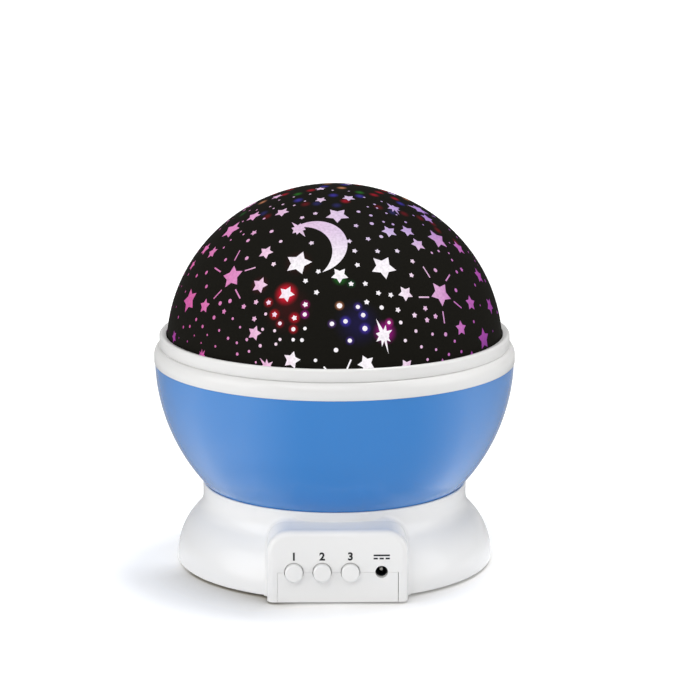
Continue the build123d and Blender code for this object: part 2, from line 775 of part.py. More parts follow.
def gear_motor():
    """Flat geared motor hung under the deck by two ears."""
    body = rod(motor_radius, deck_bottom - motor_height, deck_bottom, 0, shaft_y)
    body += rod(motor_collar_radius, deck_bottom, deck_top, 0, shaft_y)
    ear = block(
        -motor_ear_reach, motor_ear_reach, shaft_y - motor_ear_width / 2, shaft_y + motor_ear_width / 2,
        deck_bottom - motor_ear, deck_bottom,
    )
    body += ear
    for x, y in motor_screw_places():
        body -= rod(motor_screw_radius + running_gap, deck_bottom - motor_ear - overcut, deck_bottom, x, y)
    shaft_end = deck_bottom - motor_height / 2 - seat_gap
    return body - rod(motor_shaft_radius + running_gap, shaft_end, deck_top + overcut, 0, shaft_y)


def motor_screws():
    """Screws from below, through the ears into the deck."""
    ear_z = deck_bottom - motor_ear
    screw = rod(motor_screw_head_radius, ear_z - motor_screw_head, ear_z)
    screw += rod(motor_screw_radius, ear_z, deck_bottom + motor_screw_grip)
    return [Pos(x, y, 0) * screw for x, y in motor_screw_places()]


# ---------------------------------------------------------------- turning head
def bowl():
    """Coloured bowl with a flat floor, open at the top."""
    outer = ellipsoid_cap(bowl_radius, bowl_semi_height, bowl_centre, bowl_floor, bowl_top)
    outer = fillet(outer.edges().group_by(Axis.Z)[0], bowl_floor_round)
    inner = ellipsoid_cap(
        bowl_radius - bowl_wall, bowl_semi_height - bowl_wall, bowl_centre,
        bowl_floor_top, bowl_top + overcut,
    )
    shell = outer - inner - rod(hub_radius + seat_gap, bowl_floor - overcut, bowl_floor_top + overcut)
    head_seat = bowl_floor_top - post_screw_head
    for x, y in around(post_screw_count, gear_screw_circle):
        shell -= rod(post_screw_radius + running_gap, bowl_floor - overcut, bowl_floor_top + overcut, x, y)
        shell -= rod(post_screw_head_radius + running_gap, head_seat, bowl_floor_top + overcut, x, y)
    return shell


def belt_ring():
    """White ring on the bowl's top edge, with the socket that takes the cover."""
    top = seam_z
    rise = ring_height - ring_straight
    inset = ring_radius - ring_land_radius
    curve = (inset ** 2 + rise ** 2) / (2 * inset)
    half_turn = asin(rise / curve) / 2
    centre = (ring_radius - curve, top - rise)
    middle = (centre[0] + curve * cos(half_turn), centre[1] + curve * sin(half_turn))
    seat_inner = ring_socket_radius - tray_seat_width
    edges = [
        Line((ring_radius, bowl_top), (ring_radius, top - rise)),
        ThreePointArc((ring_radius, top - rise), middle, (ring_land_radius, top)),
        Polyline(
            (ring_land_radius, top), (ring_socket_radius, top), (ring_socket_radius, tray_seat_z),
            (seat_inner, tray_seat_z), (seat_inner, bowl_top - ring_skirt),
            (skirt_radius, bowl_top - ring_skirt), (skirt_radius, bowl_top), (ring_radius, bowl_top),
        ),
    ]
    return turned(make_face(edges))


def reflector_tray():
    """White dished plate that hides the bowl's inside and throws light upwards."""
    rim = tray_radius - tray_seat_width
    low = tray_seat_z - tray_fall
    return turned(outline(
        (tray_radius, tray_seat_z), (tray_radius, tray_seat_z + tray_thickness),
        (rim - tray_thickness, tray_seat_z + tray_thickness), (tray_inner_radius, low + tray_thickness),
        (tray_inner_radius, low), (rim - tray_thickness, tray_seat_z),
    ))


# ---------------------------------------------------------------- fixed lamp post
def hub_retainer():
    """Washer that keeps the turning bowl on the hub."""
    washer = rod(retainer_radius, retainer_z, post_z)
    washer -= rod(wire_bore_radius, retainer_z - overcut, post_z + overcut)
    for x, y in around(post_screw_count, post_screw_circle):
        washer -= rod(post_screw_radius + running_gap, retainer_z - overcut, post_z + overcut, x, y)
    return washer


def lamp_post():
    """Fixed post that holds the lights in the middle of the dome."""
    root_top = post_z + post_root
    post = rod(post_flange_radius, post_z, post_z + carrier_thickness) + rod(post_radius, post_z, carrier_z)
    post += rod(carrier_radius, carrier_z, led_board_z)
    post -= rod(post_radius - post_wall, root_top, led_board_z + overcut)
    post -= rod(wire_bore_radius, post_z - overcut, root_top + overcut)
    for x, y in around(post_screw_count, post_screw_circle):
        hole_top = post_z + post_screw_grip + running_gap
        post -= rod(post_screw_radius + running_gap / 2, post_z - overcut, hole_top, x, y)
    for x, y in around(post_screw_count, board_screw_circle, board_screw_turn):
        post -= rod(board_screw_radius + running_gap / 2, carrier_z - overcut, led_board_z + overcut, x, y)
    return post


def led_board():
    """Round white board with the four lights."""
    board = rod(led_board_radius, led_board_z, led_z)
    for x, y in around(post_screw_count, board_screw_circle, board_screw_turn):
        board -= rod(board_screw_radius + running_gap, led_board_z - overcut, led_z + overcut, x, y)
    return board


def board_screws():
    """Screws that hold the light board to its carrier."""
    screw = rod(post_screw_head_radius, led_z, led_z + post_screw_head)
    screw += rod(board_screw_radius, led_z - board_screw_length, led_z)
    return [Pos(x, y, 0) * screw for x, y in around(post_screw_count, board_screw_circle, board_screw_turn)]


def led(turn):
    """One light with its flange and rounded lens, at a turn in degrees round from the front."""
    x, y = spot(led_circle, turn)
    top = led_z + led_height
    lens = rod(led_radius, led_z, top)
    lens = fillet(lens.edges().group_by(Axis.Z)[-1], led_dome)
    lens += rod(led_flange_radius, led_z, led_z + led_flange)
    return Pos(x, y, 0) * lens


# ---------------------------------------------------------------- cover
def dome_collar():
    """White collar that carries the dome and plugs into the belt ring."""
    top = seam_z + collar_height
    ledge = dome_z - dome_ledge_gap
    inner = collar_bore_radius
    low = seam_z - spigot_depth
    seat = seam_z + cover_gap
    ring = turned(outline(
        (spigot_radius, low), (spigot_radius, seat), (collar_radius, seat), (collar_radius, top),
        (collar_radius - collar_crest, top), (collar_inner_radius, top - collar_fall),
        (collar_inner_radius, ledge), (inner, ledge), (inner, low),
    ))
    outer_top = ring.edges().group_by(Axis.Z)[-1].sort_by(lambda edge: edge.radius)[-1]
    return fillet(outer_top, collar_round)


def dome_shell(radius, semi_height, thickness):
    """A domed shell open below."""
    outer = ellipsoid_cap(radius, semi_height, dome_z, dome_z, dome_z + semi_height)
    inner = ellipsoid_cap(
        radius - thickness, semi_height - thickness, dome_z, dome_z, dome_z + semi_height - thickness
    )
    return outer - inner


def spiked(points, outer, root, spin):
    """A star with straight-sided spikes, one of them at the spin angle. Outer may be a list."""
    reach = outer if isinstance(outer, list) else [outer] * points
    corners = []
    for k in range(points):
        tip = radians(spin + 360.0 * k / points)
        notch = tip + pi / points
        corners += [(reach[k] * cos(tip), reach[k] * sin(tip)), (root * cos(notch), root * sin(notch))]
    return make_face(Polyline(*corners, close=True))


def window(shape, turn, tilt):
    """A cutter for one window, drawn flat in degrees of arc and pushed out from inside the dome."""
    t, u = radians(turn), radians(tilt)
    out = Vector(sin(t) * cos(u), -cos(t) * cos(u), sin(u))
    start = Vector(0, 0, dome_z) + out * (dome_semi_height - 4 * mask_thickness)
    side = Plane(origin=start, x_dir=(cos(t), sin(t), 0), z_dir=out)
    return extrude(side * scale(shape, by=degree_of_arc), 8 * mask_thickness)


def star_mask():
    """Opaque outer dome with windows, the same on both sides."""
    moon = Pos(*moon_offset) * Circle(moon_radius) - Pos(*moon_bite_offset) * Circle(moon_bite_radius)
    spikes = [sparkle_long, sparkle_short, sparkle_short, sparkle_short] * 2
    cutters = [
        window(moon, moon_turn, moon_tilt),
        window(spiked(burst_points, burst_radius, burst_root_radius, burst_spin), burst_turn, burst_tilt),
        window(spiked(burst_points, spikes, sparkle_root, sparkle_spin), sparkle_turn, sparkle_tilt),
    ]
    for turn, tilt, radius, spin in star_windows:
        cutters.append(window(spiked(star_points, radius, radius * star_root, spin), turn, tilt))
    mask = dome_shell(dome_radius, dome_semi_height, mask_thickness)
    return mask - cutters - [Rot(0, 0, 180) * cutter for cutter in cutters]


def dome_diffuser():
    """Frosted inner dome behind the windows."""
    return dome_shell(dome_radius - diffuser_inset, dome_semi_height - diffuser_inset, diffuser_thickness)


# ---------------------------------------------------------------- export
def pieces():
    """Every piece by its node name. A list is a group of like solids."""
    made = {
        "base_housing": base_housing(),
        "deck_plate": deck_plate(),
        "deck_screws": deck_screws(),
        "base_cover": base_cover(),
        "panel_face": panel_face(),
        "panel_insert": panel_insert(),
        "battery_box": battery_box(),
        "battery_door": battery_door(),
        "rubber_feet": rubber_feet(),
        "base_screws": base_screws(),
        "control_board": control_board(),
        "switch_bodies": switch_bodies(),
        "power_socket": power_socket(),
        "socket_pin": socket_pin(),
        "positive_contacts": positive_contacts(),
        "negative_contacts": negative_contacts(),
        "gear_motor": gear_motor(),
        "motor_screws": motor_screws(),
        "motor_shaft": motor_shaft(),
        "drive_pinion": drive_pinion(),
        "glide_pads": glide_pads(),
        "hub_retainer": hub_retainer(),
        "post_screws": post_screws(),
        "lamp_post": lamp_post(),
        "led_board": led_board(),
        "board_screws": board_screws(),
        "bowl": bowl(),
        "bowl_gear": bowl_gear(),
        "gear_screws": gear_screws(),
        "belt_ring": belt_ring(),
        "reflector_tray": reflector_tray(),
        "dome_collar": dome_collar(),
        "dome_diffuser": dome_diffuser(),
        "star_mask": star_mask(),
    }
    for letter, x in zip("abc", button_x):
        made["button_" + letter] = button(x)
        made["switch_plunger_" + letter] = switch_plunger(x)
    for name, turn in led_turns.items():
        made["led_" + name] = led(turn)
    return made


os.makedirs("parts", exist_ok=True)
for node, shape in pieces().items():
    whole = Compound(children=shape) if isinstance(shape, list) else shape
    export_step(whole, f"parts/{node}.step")
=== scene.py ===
import json
import random
from math import acos, asin, atan2, cos, degrees, hypot, pi, radians, sin, sqrt

import bmesh
import bpy
from mathutils import Matrix, Vector
from mathutils.geometry import delaunay_2d_cdt

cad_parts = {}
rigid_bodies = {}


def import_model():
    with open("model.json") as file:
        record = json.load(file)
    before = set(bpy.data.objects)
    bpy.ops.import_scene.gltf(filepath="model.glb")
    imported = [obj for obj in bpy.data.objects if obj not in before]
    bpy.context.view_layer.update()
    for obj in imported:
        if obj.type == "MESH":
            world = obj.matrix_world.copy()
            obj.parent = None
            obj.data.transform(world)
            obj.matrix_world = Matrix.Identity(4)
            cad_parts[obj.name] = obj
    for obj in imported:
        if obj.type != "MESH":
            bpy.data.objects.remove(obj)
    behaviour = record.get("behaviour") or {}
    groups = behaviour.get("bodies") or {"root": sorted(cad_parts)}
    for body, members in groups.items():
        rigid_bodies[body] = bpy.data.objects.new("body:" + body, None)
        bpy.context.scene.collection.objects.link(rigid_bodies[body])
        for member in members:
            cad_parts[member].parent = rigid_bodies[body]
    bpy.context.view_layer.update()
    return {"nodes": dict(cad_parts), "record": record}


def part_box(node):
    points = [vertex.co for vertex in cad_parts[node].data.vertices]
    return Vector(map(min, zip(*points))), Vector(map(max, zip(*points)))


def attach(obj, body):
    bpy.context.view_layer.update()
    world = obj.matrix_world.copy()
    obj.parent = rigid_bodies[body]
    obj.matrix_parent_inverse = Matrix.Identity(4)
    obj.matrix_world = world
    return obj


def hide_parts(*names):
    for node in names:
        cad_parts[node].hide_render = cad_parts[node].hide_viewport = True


# The star night light projector, dressed for its picture. Named sizes are millimetres, Blender's
# units are metres, +Z is up and the control panel faces -Y.

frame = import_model()
mm = 0.001


# ---- sizes read from the frame
def half_width(node):
    """Half of a round node's width, in millimetres."""
    low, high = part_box(node)
    return (high[0] - low[0]) / 2 / mm


def bottom(node):
    """Lowest height of a node, in millimetres."""
    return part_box(node)[0][2] / mm


def top(node):
    """Highest height of a node, in millimetres."""
    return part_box(node)[1][2] / mm


def middle_x(node):
    """Place of a node's middle across, in millimetres."""
    low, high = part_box(node)
    return (low[0] + high[0]) / 2 / mm


bowl_floor, bowl_top = bottom("bowl"), top("bowl")
ring_radius, seam_z = half_width("belt_ring"), top("belt_ring")
collar_radius = half_width("dome_collar")
collar_bottom, collar_top = bottom("dome_collar"), top("dome_collar")
dome_z, dome_top = bottom("star_mask"), top("star_mask")
base_z, rim_z = bottom("base_housing"), top("base_housing")
panel_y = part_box("panel_face")[0][1] / mm
tray_radius = half_width("reflector_tray")
tray_low, tray_high = bottom("reflector_tray"), top("reflector_tray")
deck_thickness = 2.0
shelf_z = bottom("glide_pads") + deck_thickness
button_nodes = ("button_a", "button_b", "button_c")

# ---- sizes of the mouldings
bowl_radius = ring_radius - 0.25
bowl_semi_height = bowl_radius + 2.05
bowl_centre = bowl_top + 1.75
bowl_wall = 2.0
bowl_gap = 0.1           # drawn closer than the solids' 0.4, as the seam reads in the picture
neck_reach = 1.0         # outside of the neck beyond the bowl, at the rim
hub_hole = 8.3
foot_height = 0.8        # of the bowl's foot, up to where the round side starts
foot_inset = 1.6         # of the foot's flat, in from there
foot_corner = (0.5, 0.25)  # the one corner between the two, in and up
dome_radius = collar_radius - 2.45
dome_semi_height = dome_top - dome_z
mask_film = 0.05         # the black skin, drawn thin so that slanted windows stay open
frost_gap = 0.02
frost_wall = 1.9
ring_straight = 2.6
ring_land_radius = ring_radius - 1.5
ring_socket_radius = collar_radius - 1.1
ring_ledge_z = tray_high - 1.5
ring_ledge_radius = ring_socket_radius - 2.0
ring_skirt_z = bottom("belt_ring")
skirt_gap = 0.2          # between the ring's skirt and the bowl's inside
edge_round = 0.3
collar_round = 0.9
collar_crest = 1.1       # crest's inner edge, in from the outside
collar_fall = 0.35       # from the crest down to the dome, drawn shallower so that light reaches it
collar_foot_round = 0.15
dome_gap = 0.15          # between the collar and the dome
spigot_radius = collar_radius - 1.3
collar_bore_radius = dome_radius - 2.0
collar_ledge_z = dome_z - 0.15
collar_seat_z = seam_z + 0.1
tray_thickness = 1.5
tray_rim = 3.5           # width of the tray's flat rim
tray_hole_gap = 5.5      # between the tray's hole and the light board

base_radius = ring_radius - 7.5
base_wall = 2.0
belly_z = base_z + 0.9
belly_curve = 23.0
neck_curve = 8.0
rim_round = 0.4
rim_rise = 0.35          # the rim is drawn this much higher, so that its edge meets the bowl
bottom_round = 0.7

panel_half = 23.5
panel_top = rim_z - 2.8
panel_corner = 7.5
panel_round = 2.3
panel_wall = 2.4
panel_blend = 2.0
blend_tail = 1.2         # how far the blend reaches into both pieces, in its own radii
panel_root_y = -25.0     # inside the flare, where the panel's sides end
pocket_root_y = -20.0
opening_root_y = -30.0
opening_inset = 1.0      # of the flare's opening, in from the panel's outline
neck_bite = 0.4          # how far the panel reaches into the neck
overcut = 1.0            # how far a cutter reaches past what it cuts
insert_left, insert_right, insert_gap = -20.12, 20.25, 0.08
control_z = (bottom("button_a") + top("button_a")) / 2
insert_top = control_z - 0.2
button_hole_radius = 3.25
socket_x = 14.6
socket_hole_radius = 2.1
button_radius = 3.0
button_round = 0.7
button_flat_radius = 1.35
stem_radius = 1.8
flange_radius, flange_thickness, flange_gap = 4.0, 1.2, 0.2
mark_z = control_z + 5.3
mark_height = 2.6
mark_depth = 0.06
mark_stroke = 0.13       # added to a figure's strokes on each side
text_size = 1.42         # of a font, for figures of height 1
sign_half_width = 2.7
sign_half_thickness = 0.27
sign_line_rise, sign_dash_rise = 0.45, -0.65
dash_length, dash_pitch = 1.4, 2.0

# ---- fineness of the meshes
widest_steps = 256       # facets round the widest turned pieces
inner_steps = 192        # and round the tray and the domes
button_steps = 64
dome_rings = 48          # rows of points from the mask's top down to its edge
weld_distance = 1e-7     # metres, under which two points become one
soft_angle = 50.0        # degrees, for pieces whose small corners are smoothed over
blend_angle = 40.0
carved_angle = 30.0

# ---- colours, linear, and grain
# Both whites are tinted a little warm, as painted light against the blue light that the bowl throws on them.
# The ring and collar white is a darker copy of the base's white, as painted shade, because the ring and
# collar stand in more light than the base under the bowl.
white_plastic = (0.91, 0.905, 0.895)
ring_white = (0.83, 0.825, 0.815)
blue_plastic = (0.034, 0.222, 0.615)
mask_black = (0.0105, 0.0098, 0.0078)
mark_black = (0.012, 0.012, 0.014)
fine_grain = 900         # of a moulded surface, in waves per metre

# ---- light
sky_level = 0.49
lamps = {  # energy, spread in degrees, and where the light comes from
    "key": (1.05, 18, (0.24, 0.26, 1.0)),
    "fill": (0.7, 40, (-0.25, -1.0, 1.0)),
    "left": (0.6, 40, (-1.0, -0.35, 0.3)),
    "right": (0.42, 40, (1.0, -0.35, 0.3)),
}
floor_reach, floor_depth = 6000.0, 20.0  # the stage's slab, out from the middle and down
floor_white, floor_lift = 0.92, 0.34
open_sky, closed_sky = 1.0, 0.3    # shares of open sky between which the painted shade on the floor deepens
painted_floor_shade = (0.34, 0.31, 0.26)  # painted shade: the floor's colour right under an edge, where no light reaches
painted_shade_reach = 44.0      # how far from the object the painted shade on the floor reaches
painted_shade_samples = 16
painted_shade_share = [         # how much of that painted shade each side of the floor takes, most on the front left
    (-180, 0.3), (-110, 0.15), (-84, 0.15), (-66, 0.95), (-24, 1.0), (-12, 0.45), (0, 0.3),
    (30, 0.55), (90, 0.4),
]
mirror_strength = 2.0    # the brightest that glossy surfaces see; the levels below are shares of it
floor_glint = 0.5        # added to the floor where glossy surfaces see it, in the same shares
sky_mirrored = [
    (-180, 0.15), (-130, 0.15), (-112, 0.4), (-92, 0.7), (-56, 0.84), (-18, 0.14),
    (44, 0.14), (84, 0.75), (92, 0.7), (112, 0.35), (130, 0.12),
]
floor_mirrored = [
    (-180, 0.3), (-130, 0.3), (-112, 0.5), (-92, 0.9), (-52, 0.95), (-20, 0.36),
    (46, 0.36), (82, 0.9), (92, 0.8), (112, 0.5), (130, 0.3),
]


def link(obj, body, stands_for=()):
    """Puts a finished piece on its CAD body."""
    if obj.name not in bpy.context.scene.collection.objects:
        bpy.context.scene.collection.objects.link(obj)
    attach(obj, body)
    if stands_for:
        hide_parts(*stands_for)
    return obj


# ---- materials
def shader(name, colour, roughness, **inputs):
    """A Principled material. Constants are set on the shader's own sockets."""
    material = bpy.data.materials.new(name)
    material.use_nodes = True
    principled = material.node_tree.nodes["Principled BSDF"]
    principled.inputs["Base Color"].default_value = (*colour, 1)
    principled.inputs["Roughness"].default_value = roughness
    for key, value in inputs.items():
        principled.inputs[key.replace("_", " ")].default_value = value
    return material


def add_grain(material, scale, strength):
    """A fine moulded grain, as bump from the object's own coordinates."""
    tree = material.node_tree
    place = tree.nodes.new("ShaderNodeTexCoord")
    noise = tree.nodes.new("ShaderNodeTexNoise")
    noise.inputs["Scale"].default_value = scale
    bump = tree.nodes.new("ShaderNodeBump")
    bump.inputs["Strength"].default_value = strength
    bump.inputs["Distance"].default_value = 0.1 * mm
    tree.links.new(place.outputs["Object"], noise.inputs["Vector"])
    tree.links.new(noise.outputs["Fac"], bump.inputs["Height"])
    tree.links.new(bump.outputs["Normal"], tree.nodes["Principled BSDF"].inputs["Normal"])
    return material


def plain_materials():
    """Materials of the plain pieces, by slot; the ring and the collar share a darker copy of the white, as
    painted shade.
    """
    made = {
        "white_plastic": add_grain(shader("white plastic", white_plastic, 0.18), fine_grain, 0.02),
        "ring_white": add_grain(shader("shaded ring white", ring_white, 0.2), fine_grain, 0.02),
        "bowl_blue": shader("blue plastic", blue_plastic, 0.16, Coat_Weight=0.3, Coat_Roughness=0.05),
        "inner_white": add_grain(shader("inner white", (0.78, 0.78, 0.78), 0.5), fine_grain, 0.05),
        "nylon": shader("nylon", (0.72, 0.70, 0.64), 0.45),
        "rubber": add_grain(shader("rubber", (0.03, 0.03, 0.03), 0.8), 1500, 0.2),
        "steel": shader("steel", (0.55, 0.55, 0.56), 0.3, Metallic=1.0),
        "contact_metal": shader("contact metal", (0.7, 0.68, 0.62), 0.28, Metallic=1.0),
        "board_green": add_grain(shader("circuit board", (0.02, 0.17, 0.06), 0.4), 700, 0.1),
        "black_plastic": shader("black plastic", (0.012, 0.012, 0.012), 0.4),
        "plunger_grey": shader("grey plastic", (0.3, 0.3, 0.3), 0.4),
    }
    lamp_colours = {
        "led_white": (1.0, 0.93, 0.75), "led_red": (1.0, 0.03, 0.05),
        "led_green": (0.05, 0.9, 0.15), "led_blue": (0.08, 0.15, 1.0),
    }
    for slot, colour in lamp_colours.items():
        made[slot] = shader(slot, colour, 0.2, Emission_Color=(*colour, 1), Emission_Strength=0.6)
    return made


# ---- mesh helpers
def mesh_object(name, points, faces, sharp_angle=35.0):
    """A mesh from points in millimetres, smooth but for edges sharper than the angle."""
    mesh = bpy.data.meshes.new(name)
    mesh.from_pydata([Vector(p) * mm for p in points], [], faces)
    build = bmesh.new()
    build.from_mesh(mesh)
    bmesh.ops.remove_doubles(build, verts=build.verts, dist=weld_distance)
    bmesh.ops.recalc_face_normals(build, faces=build.faces)
    build.to_mesh(mesh)
    build.free()
    mesh.shade_smooth()
    mesh.set_sharp_from_angle(angle=radians(sharp_angle))
    return bpy.data.objects.new(name, mesh)


def turned(name, profile, steps, sharp_angle=35.0):
    """A closed mesh turned about Z from a closed profile of (radius, height)."""
    count = len(profile)
    points, faces = [], []
    for k in range(steps):
        turn = 2 * pi * k / steps
        points += [(r * cos(turn), r * sin(turn), z) for r, z in profile]
    for k in range(steps):
        here, after = k * count, (k + 1) % steps * count
        for i in range(count):
            j = (i + 1) % count
            faces.append((here + i, after + i, after + j, here + j))
    return mesh_object(name, points, faces, sharp_angle)


def arc(centre, radius, start, end, steps=10):
    """Points of a circular arc, angles in degrees."""
    turns = [radians(start + (end - start) * k / steps) for k in range(steps + 1)]
    return [(centre[0] + radius * cos(t), centre[1] + radius * sin(t)) for t in turns]


def ellipse(radius, semi_height, centre_z, low, high, steps=48):
    """Points of an ellipse's side from one height to another, either way."""
    start = asin(max(-1.0, min(1.0, (low - centre_z) / semi_height)))
    end = asin(max(-1.0, min(1.0, (high - centre_z) / semi_height)))
    turns = [start + (end - start) * k / steps for k in range(steps + 1)]
    return [(radius * cos(t), centre_z + semi_height * sin(t)) for t in turns]


def box_object(name, low, high):
    """A plain box between two corners in millimetres."""
    xs, ys, zs = zip(low, high)
    points = [(x, y, z) for x in xs for y in ys for z in zs]
    faces = [(0, 1, 3, 2), (4, 6, 7, 5), (0, 4, 5, 1), (2, 3, 7, 6), (0, 2, 6, 4), (1, 5, 7, 3)]
    return mesh_object(name, points, faces)


def skinned(name, rings, sharp_angle=35.0):
    """A closed mesh over rings of points, one after another, with a flat face at each end."""
    count = len(rings[0])
    points = [point for ring in rings for point in ring]
    last = len(points) - count
    faces = [tuple(range(count)), tuple(range(last, len(points)))[::-1]]
    for start in range(0, last, count):
        for k in range(count):
            j = (k + 1) % count
            faces.append((start + k, start + j, start + j + count, start + k + count))
    return mesh_object(name, points, faces, sharp_angle)


def prism_y(name, outline, front, back):
    """An outline of (x, z) pushed along Y."""
    return skinned(name, [[(x, y, z) for x, z in outline] for y in (front, back)])


def rod_y(name, radius, front, back, x, z):
    """A cylinder along Y."""
    turns = [2 * pi * k / button_steps for k in range(button_steps)]
    return prism_y(name, [(x + radius * cos(t), z + radius * sin(t)) for t in turns], front, back)


def carve(obj, cutters):
    """Cuts the cutters out of a mesh object for good, and removes them."""
    scene = bpy.context.scene.collection.objects
    scene.link(obj)
    for cutter in cutters:
        scene.link(cutter)
        cut = obj.modifiers.new(cutter.name, "BOOLEAN")
        cut.operation, cut.solver, cut.object = "DIFFERENCE", "EXACT", cutter
    baked = bpy.data.meshes.new_from_object(obj.evaluated_get(bpy.context.evaluated_depsgraph_get()))
    obj.modifiers.clear()
    obj.data = baked
    for cutter in cutters:
        bpy.data.objects.remove(cutter)
    obj.data.shade_smooth()
    obj.data.set_sharp_from_angle(angle=radians(carved_angle))
    return obj


def paint(obj, material):
    """Gives an object its only material."""
    obj.data.materials.clear()
    obj.data.materials.append(material)
    return obj


# ---- bowl, ring, collar, tray
def bowl_side(height):
    """Radius of the bowl's outside at a height."""
    return bowl_radius * cos(asin((height - bowl_centre) / bowl_semi_height))


def make_bowl(materials):
    """The blue bowl, with a hub hole in its floor."""
    floor_top = bowl_floor + bowl_wall
    outer = ellipse(bowl_radius, bowl_semi_height, bowl_centre, bowl_floor + foot_height, bowl_top, steps=80)
    inner_radius, inner_semi = bowl_radius - bowl_wall, bowl_semi_height - bowl_wall
    inner = ellipse(inner_radius, inner_semi, bowl_centre, bowl_top, floor_top, steps=60)
    side = outer[0][0]
    foot = [(hub_hole, bowl_floor), (side - foot_inset, bowl_floor),
            (side - foot_corner[0], bowl_floor + foot_corner[1])]
    bowl = turned("blue_bowl", foot + outer + inner + [(hub_hole, floor_top)], widest_steps)
    link(paint(bowl, materials["bowl_blue"]), "head", ["bowl"])


def make_ring(materials):
    """The belt ring, whose shoulder curves in to the collar and whose skirt stands in the bowl."""
    inset, rise = ring_radius - ring_land_radius, seam_z - bowl_top - ring_straight
    curve = (inset ** 2 + rise ** 2) / (2 * inset)
    shoulder = arc((ring_radius - curve, seam_z - rise), curve, 0, degrees(asin(rise / curve)))
    skirt = bowl_side(ring_skirt_z) - bowl_wall - skirt_gap
    profile = [(ring_radius - edge_round, bowl_top), (ring_radius, bowl_top + edge_round)] + shoulder + [
        (ring_socket_radius, seam_z), (ring_socket_radius, ring_ledge_z), (ring_ledge_radius, ring_ledge_z),
        (ring_ledge_radius, ring_skirt_z), (skirt, ring_skirt_z), (skirt, bowl_top),
    ]
    ring = turned("white_ring", profile, widest_steps, soft_angle)
    link(paint(ring, materials["ring_white"]), "head", ["belt_ring"])


def make_collar(materials):
    """The collar round the dome, with a spigot that stands in the belt ring."""
    shoulder = arc((collar_radius - collar_round, collar_top - collar_round), collar_round, 0, 90)
    profile = [
        (spigot_radius, collar_bottom), (spigot_radius, collar_seat_z),
        (collar_radius - collar_foot_round, collar_seat_z),
        (collar_radius, collar_seat_z + collar_foot_round),
    ] + shoulder + [
        (collar_radius - collar_crest, collar_top), (dome_radius + dome_gap, collar_top - collar_fall),
        (dome_radius + dome_gap, collar_ledge_z),
        (collar_bore_radius, collar_ledge_z), (collar_bore_radius, collar_bottom),
    ]
    collar = turned("white_collar", profile, widest_steps, soft_angle)
    link(paint(collar, materials["ring_white"]), "cover", ["dome_collar"])


def make_tray(materials):
    """The dished reflector tray round the light board."""
    hole, flat = half_width("led_board") + tray_hole_gap, tray_radius - tray_rim
    profile = [
        (tray_radius, tray_high - tray_thickness), (tray_radius, tray_high), (flat, tray_high),
        (hole, tray_low + tray_thickness), (hole, tray_low), (flat, tray_high - tray_thickness),
    ]
    tray = turned("tray_dish", profile, inner_steps)
    link(paint(tray, materials["inner_white"]), "head", ["reflector_tray"])


# ---- base
def flare_side(inset, low):
    """Outer or inner side of the flared base, from the bottom up to the neck."""
    neck_radius = bowl_side(rim_z) + neck_reach
    belly_centre, neck_centre = base_radius - belly_curve, neck_radius + neck_curve
    rise = sqrt((belly_curve + neck_curve) ** 2 - (neck_centre - belly_centre) ** 2)
    lean = degrees(atan2(rise, neck_centre - belly_centre))
    belly = arc((belly_centre, belly_z), belly_curve - inset, 0, lean, steps=24)
    neck = arc((neck_centre, belly_z + rise), neck_curve + inset, 180 + lean, 180, steps=24)
    return [(belly[0][0], low)] + belly + neck[1:]


def arch(half, low, high, corner):
    """Outline of the panel, with two round upper corners."""
    right = arc((half - corner, high - corner), corner, 0, 90, steps=12)
    left = arc((corner - half, high - corner), corner, 90, 180, steps=12)
    return [(half, low)] + right + left + [(-half, low)]


def make_flare(materials):
    """The flared shell as one turned piece, cut open where the control panel stands."""
    outer = flare_side(0, base_z + bottom_round)
    foot = arc((outer[0][0] - bottom_round, base_z + bottom_round), bottom_round, -90, 0, steps=6)
    neck_radius = outer[-1][0]
    rim_top = rim_z + rim_rise
    lip = arc((neck_radius - rim_round, rim_top - rim_round), rim_round, 0, 90, steps=4)
    dish_radius, dish_semi = bowl_radius + bowl_gap, bowl_semi_height + bowl_gap
    dish = ellipse(dish_radius, dish_semi, bowl_centre, rim_top, bowl_floor, steps=8)
    inner = [p for p in flare_side(base_wall, base_z) if p[1] < shelf_z]
    shelf = [(dish[-1][0], shelf_z), (inner[-1][0], shelf_z)]
    profile = foot + outer[1:] + lip + dish + shelf + inner[::-1]
    flare = turned("flared_base", profile, widest_steps)
    half, high, corner = panel_half - opening_inset, panel_top - opening_inset, panel_corner - opening_inset
    opening = arch(half, base_z - overcut, high, corner)
    carve(flare, [prism_y("opening", opening, panel_y - overcut, opening_root_y)])
    link(paint(flare, materials["white_plastic"]), "base", ["base_housing"])
    return neck_radius


def outside_at(height, profile):
    """Radius of a profile at a height, and the outward slope's direction there."""
    for (r0, z0), (r1, z1) in zip(profile, profile[1:]):
        if z0 <= height <= z1 and z1 > z0:
            part = (height - z0) / (z1 - z0)
            across = Vector((z1 - z0, r0 - r1)).normalized()
            return r0 + (r1 - r0) * part, across
    return profile[-1][0], Vector((1, 0))


